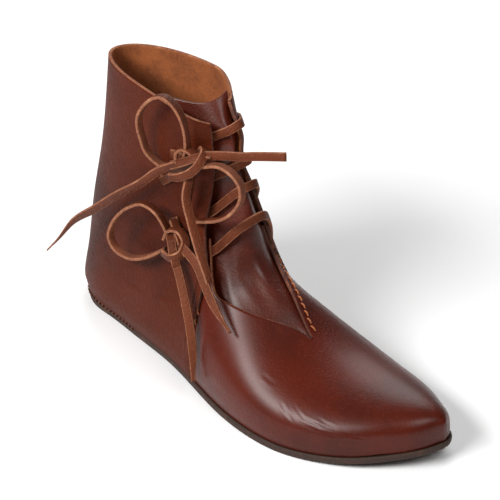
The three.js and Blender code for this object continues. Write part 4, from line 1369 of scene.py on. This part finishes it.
def stitches(places, step, size, slant, rise, radius, raise_by=0.0):
    """Short stitches along a line on the upper. slant turns each across the line, in millimetres."""
    fine = catmull(places, STITCH_LINE_STEPS)
    points = last_point(fine[:, 0], fine[:, 1])
    line, _ = resample(np.hstack([points, outwards(fine[:, 0], fine[:, 1])]), STITCH_FINE)
    run = unit(np.gradient(line[:, :3], axis=0))
    out = unit(line[:, 3:])
    side = np.cross(out, run)
    tubes = []
    every = int(round(step / STITCH_FINE))
    long = int(round(size / STITCH_FINE))
    t = np.linspace(0, 1, STITCH_STEPS)[:, None]
    above = np.sin(np.pi * t) * rise - (1 - np.sin(np.pi * t)) * radius * STITCH_SINK + raise_by
    for i in range(0, len(line) - long, every):
        a = line[i, :3] - side[i] * slant
        b = line[i + long, :3] + side[i + long] * slant
        tubes.append(thread_tube(mix(a, b, t) + out[i] * above, radius))
    return tubes


def throat_line(start, end, count):
    """Places at a distance behind the throat's inner edge."""
    along = np.linspace(start, end, count)
    edge = inner_edge_at(along)
    return np.column_stack([along, edge + around_for(along, edge, THROAT_INSET)])


def seam_line(side, low, high, count=16):
    """Places of an upright line beside a side seam, between two shares of the section."""
    share = np.linspace(low, high, count)
    along = seam_along(side, share, SEAMS[side] + SEAM_STITCH_AHEAD)
    return np.column_stack([along, half_around(side, along, share)])


def back_line(low, high, count=16):
    """Places up the back of the heel, where the two quarters meet."""
    return np.column_stack([np.linspace(low, high, count), np.full(count, BACK_AROUND)])


def stitched(name, tubes, look):
    """Stitches as one piece on the upper."""
    points, faces, looks = tube_mesh(tubes)
    new_object(name, points, faces, [look], looks)


throat_tubes = stitches(throat_line(0.292, 0.56, 14), step=5.2, size=4.4, slant=0.7, rise=0.6, radius=0.5)
collar_tubes = stitches(throat_line(0.93, 0.985, 6), step=5.0, size=4.0, slant=0.6, rise=0.6, radius=0.5)
side_tubes = []
for half in (-1, 1):
    side_tubes += stitches(seam_line(half, 0.06, 0.9), step=6.0, size=4.6, slant=1.0, rise=0.7, radius=0.45)
heel_tubes = stitches(
    back_line(0.60, 0.97), step=3.6, size=1.6, slant=2.2, rise=0.7, radius=0.5, raise_by=QUARTER_STEP)
stitched("throat_stitches", throat_tubes, tan_thread)
stitched("collar_stitches", collar_tubes, tan_thread)
stitched("side_stitches", side_tubes, tan_thread)
stitched("heel_stitches", heel_tubes, dark_thread)


# The floor, the backdrop of the world and the lights

FLOOR_HALF = 3.0
WORLD_STRENGTH = 0.11
floor_mesh = bpy.data.meshes.new("floor")
floor_corners = [(x * FLOOR_HALF, y * FLOOR_HALF, 0) for x, y in ((-1, -1), (1, -1), (1, 1), (-1, 1))]
floor_mesh.from_pydata(floor_corners, [], [(0, 1, 2, 3)])
floor = bpy.data.objects.new("floor", floor_mesh)
bpy.context.scene.collection.objects.link(floor)
floor_look = Look("floor")
floor_look.set(Base_Color=tint(250, 250, 250), Roughness=0.9)
floor_mesh.materials.append(floor_look.material)

world = bpy.data.worlds.new("studio")
world.use_nodes = True
world.node_tree.nodes["Background"].inputs["Color"].default_value = (1.0, 1.0, 1.0, 1.0)
world.node_tree.nodes["Background"].inputs["Strength"].default_value = WORLD_STRENGTH
bpy.context.scene.world = world
bpy.context.scene.view_settings.view_transform = "Standard"


def area_light(name, place, aim, wide, tall, power):
    """A soft box at a place, turned to its aim, both in millimetres. Its sides are in metres."""
    data = bpy.data.lights.new(name, "AREA")
    data.energy = power
    data.shape = "RECTANGLE"
    data.size = wide
    data.size_y = tall
    light = bpy.data.objects.new(name, data)
    turn = (Vector(aim) - Vector(place)).to_track_quat("-Z", "Y").to_matrix().to_4x4()
    light.matrix_world = Matrix.Translation(Vector(place) * MM) @ turn
    bpy.context.scene.collection.objects.link(light)


area_light("key", place=(0, -1080, 930), aim=(80, 0, 60), wide=0.9, tall=0.42, power=25)
area_light("side", place=(950, -120, 950), aim=(110, 0, 60), wide=0.5, tall=0.5, power=4.5)
area_light("rim", place=(-500, 700, 800), aim=(60, 0, 80), wide=0.8, tall=0.8, power=8)
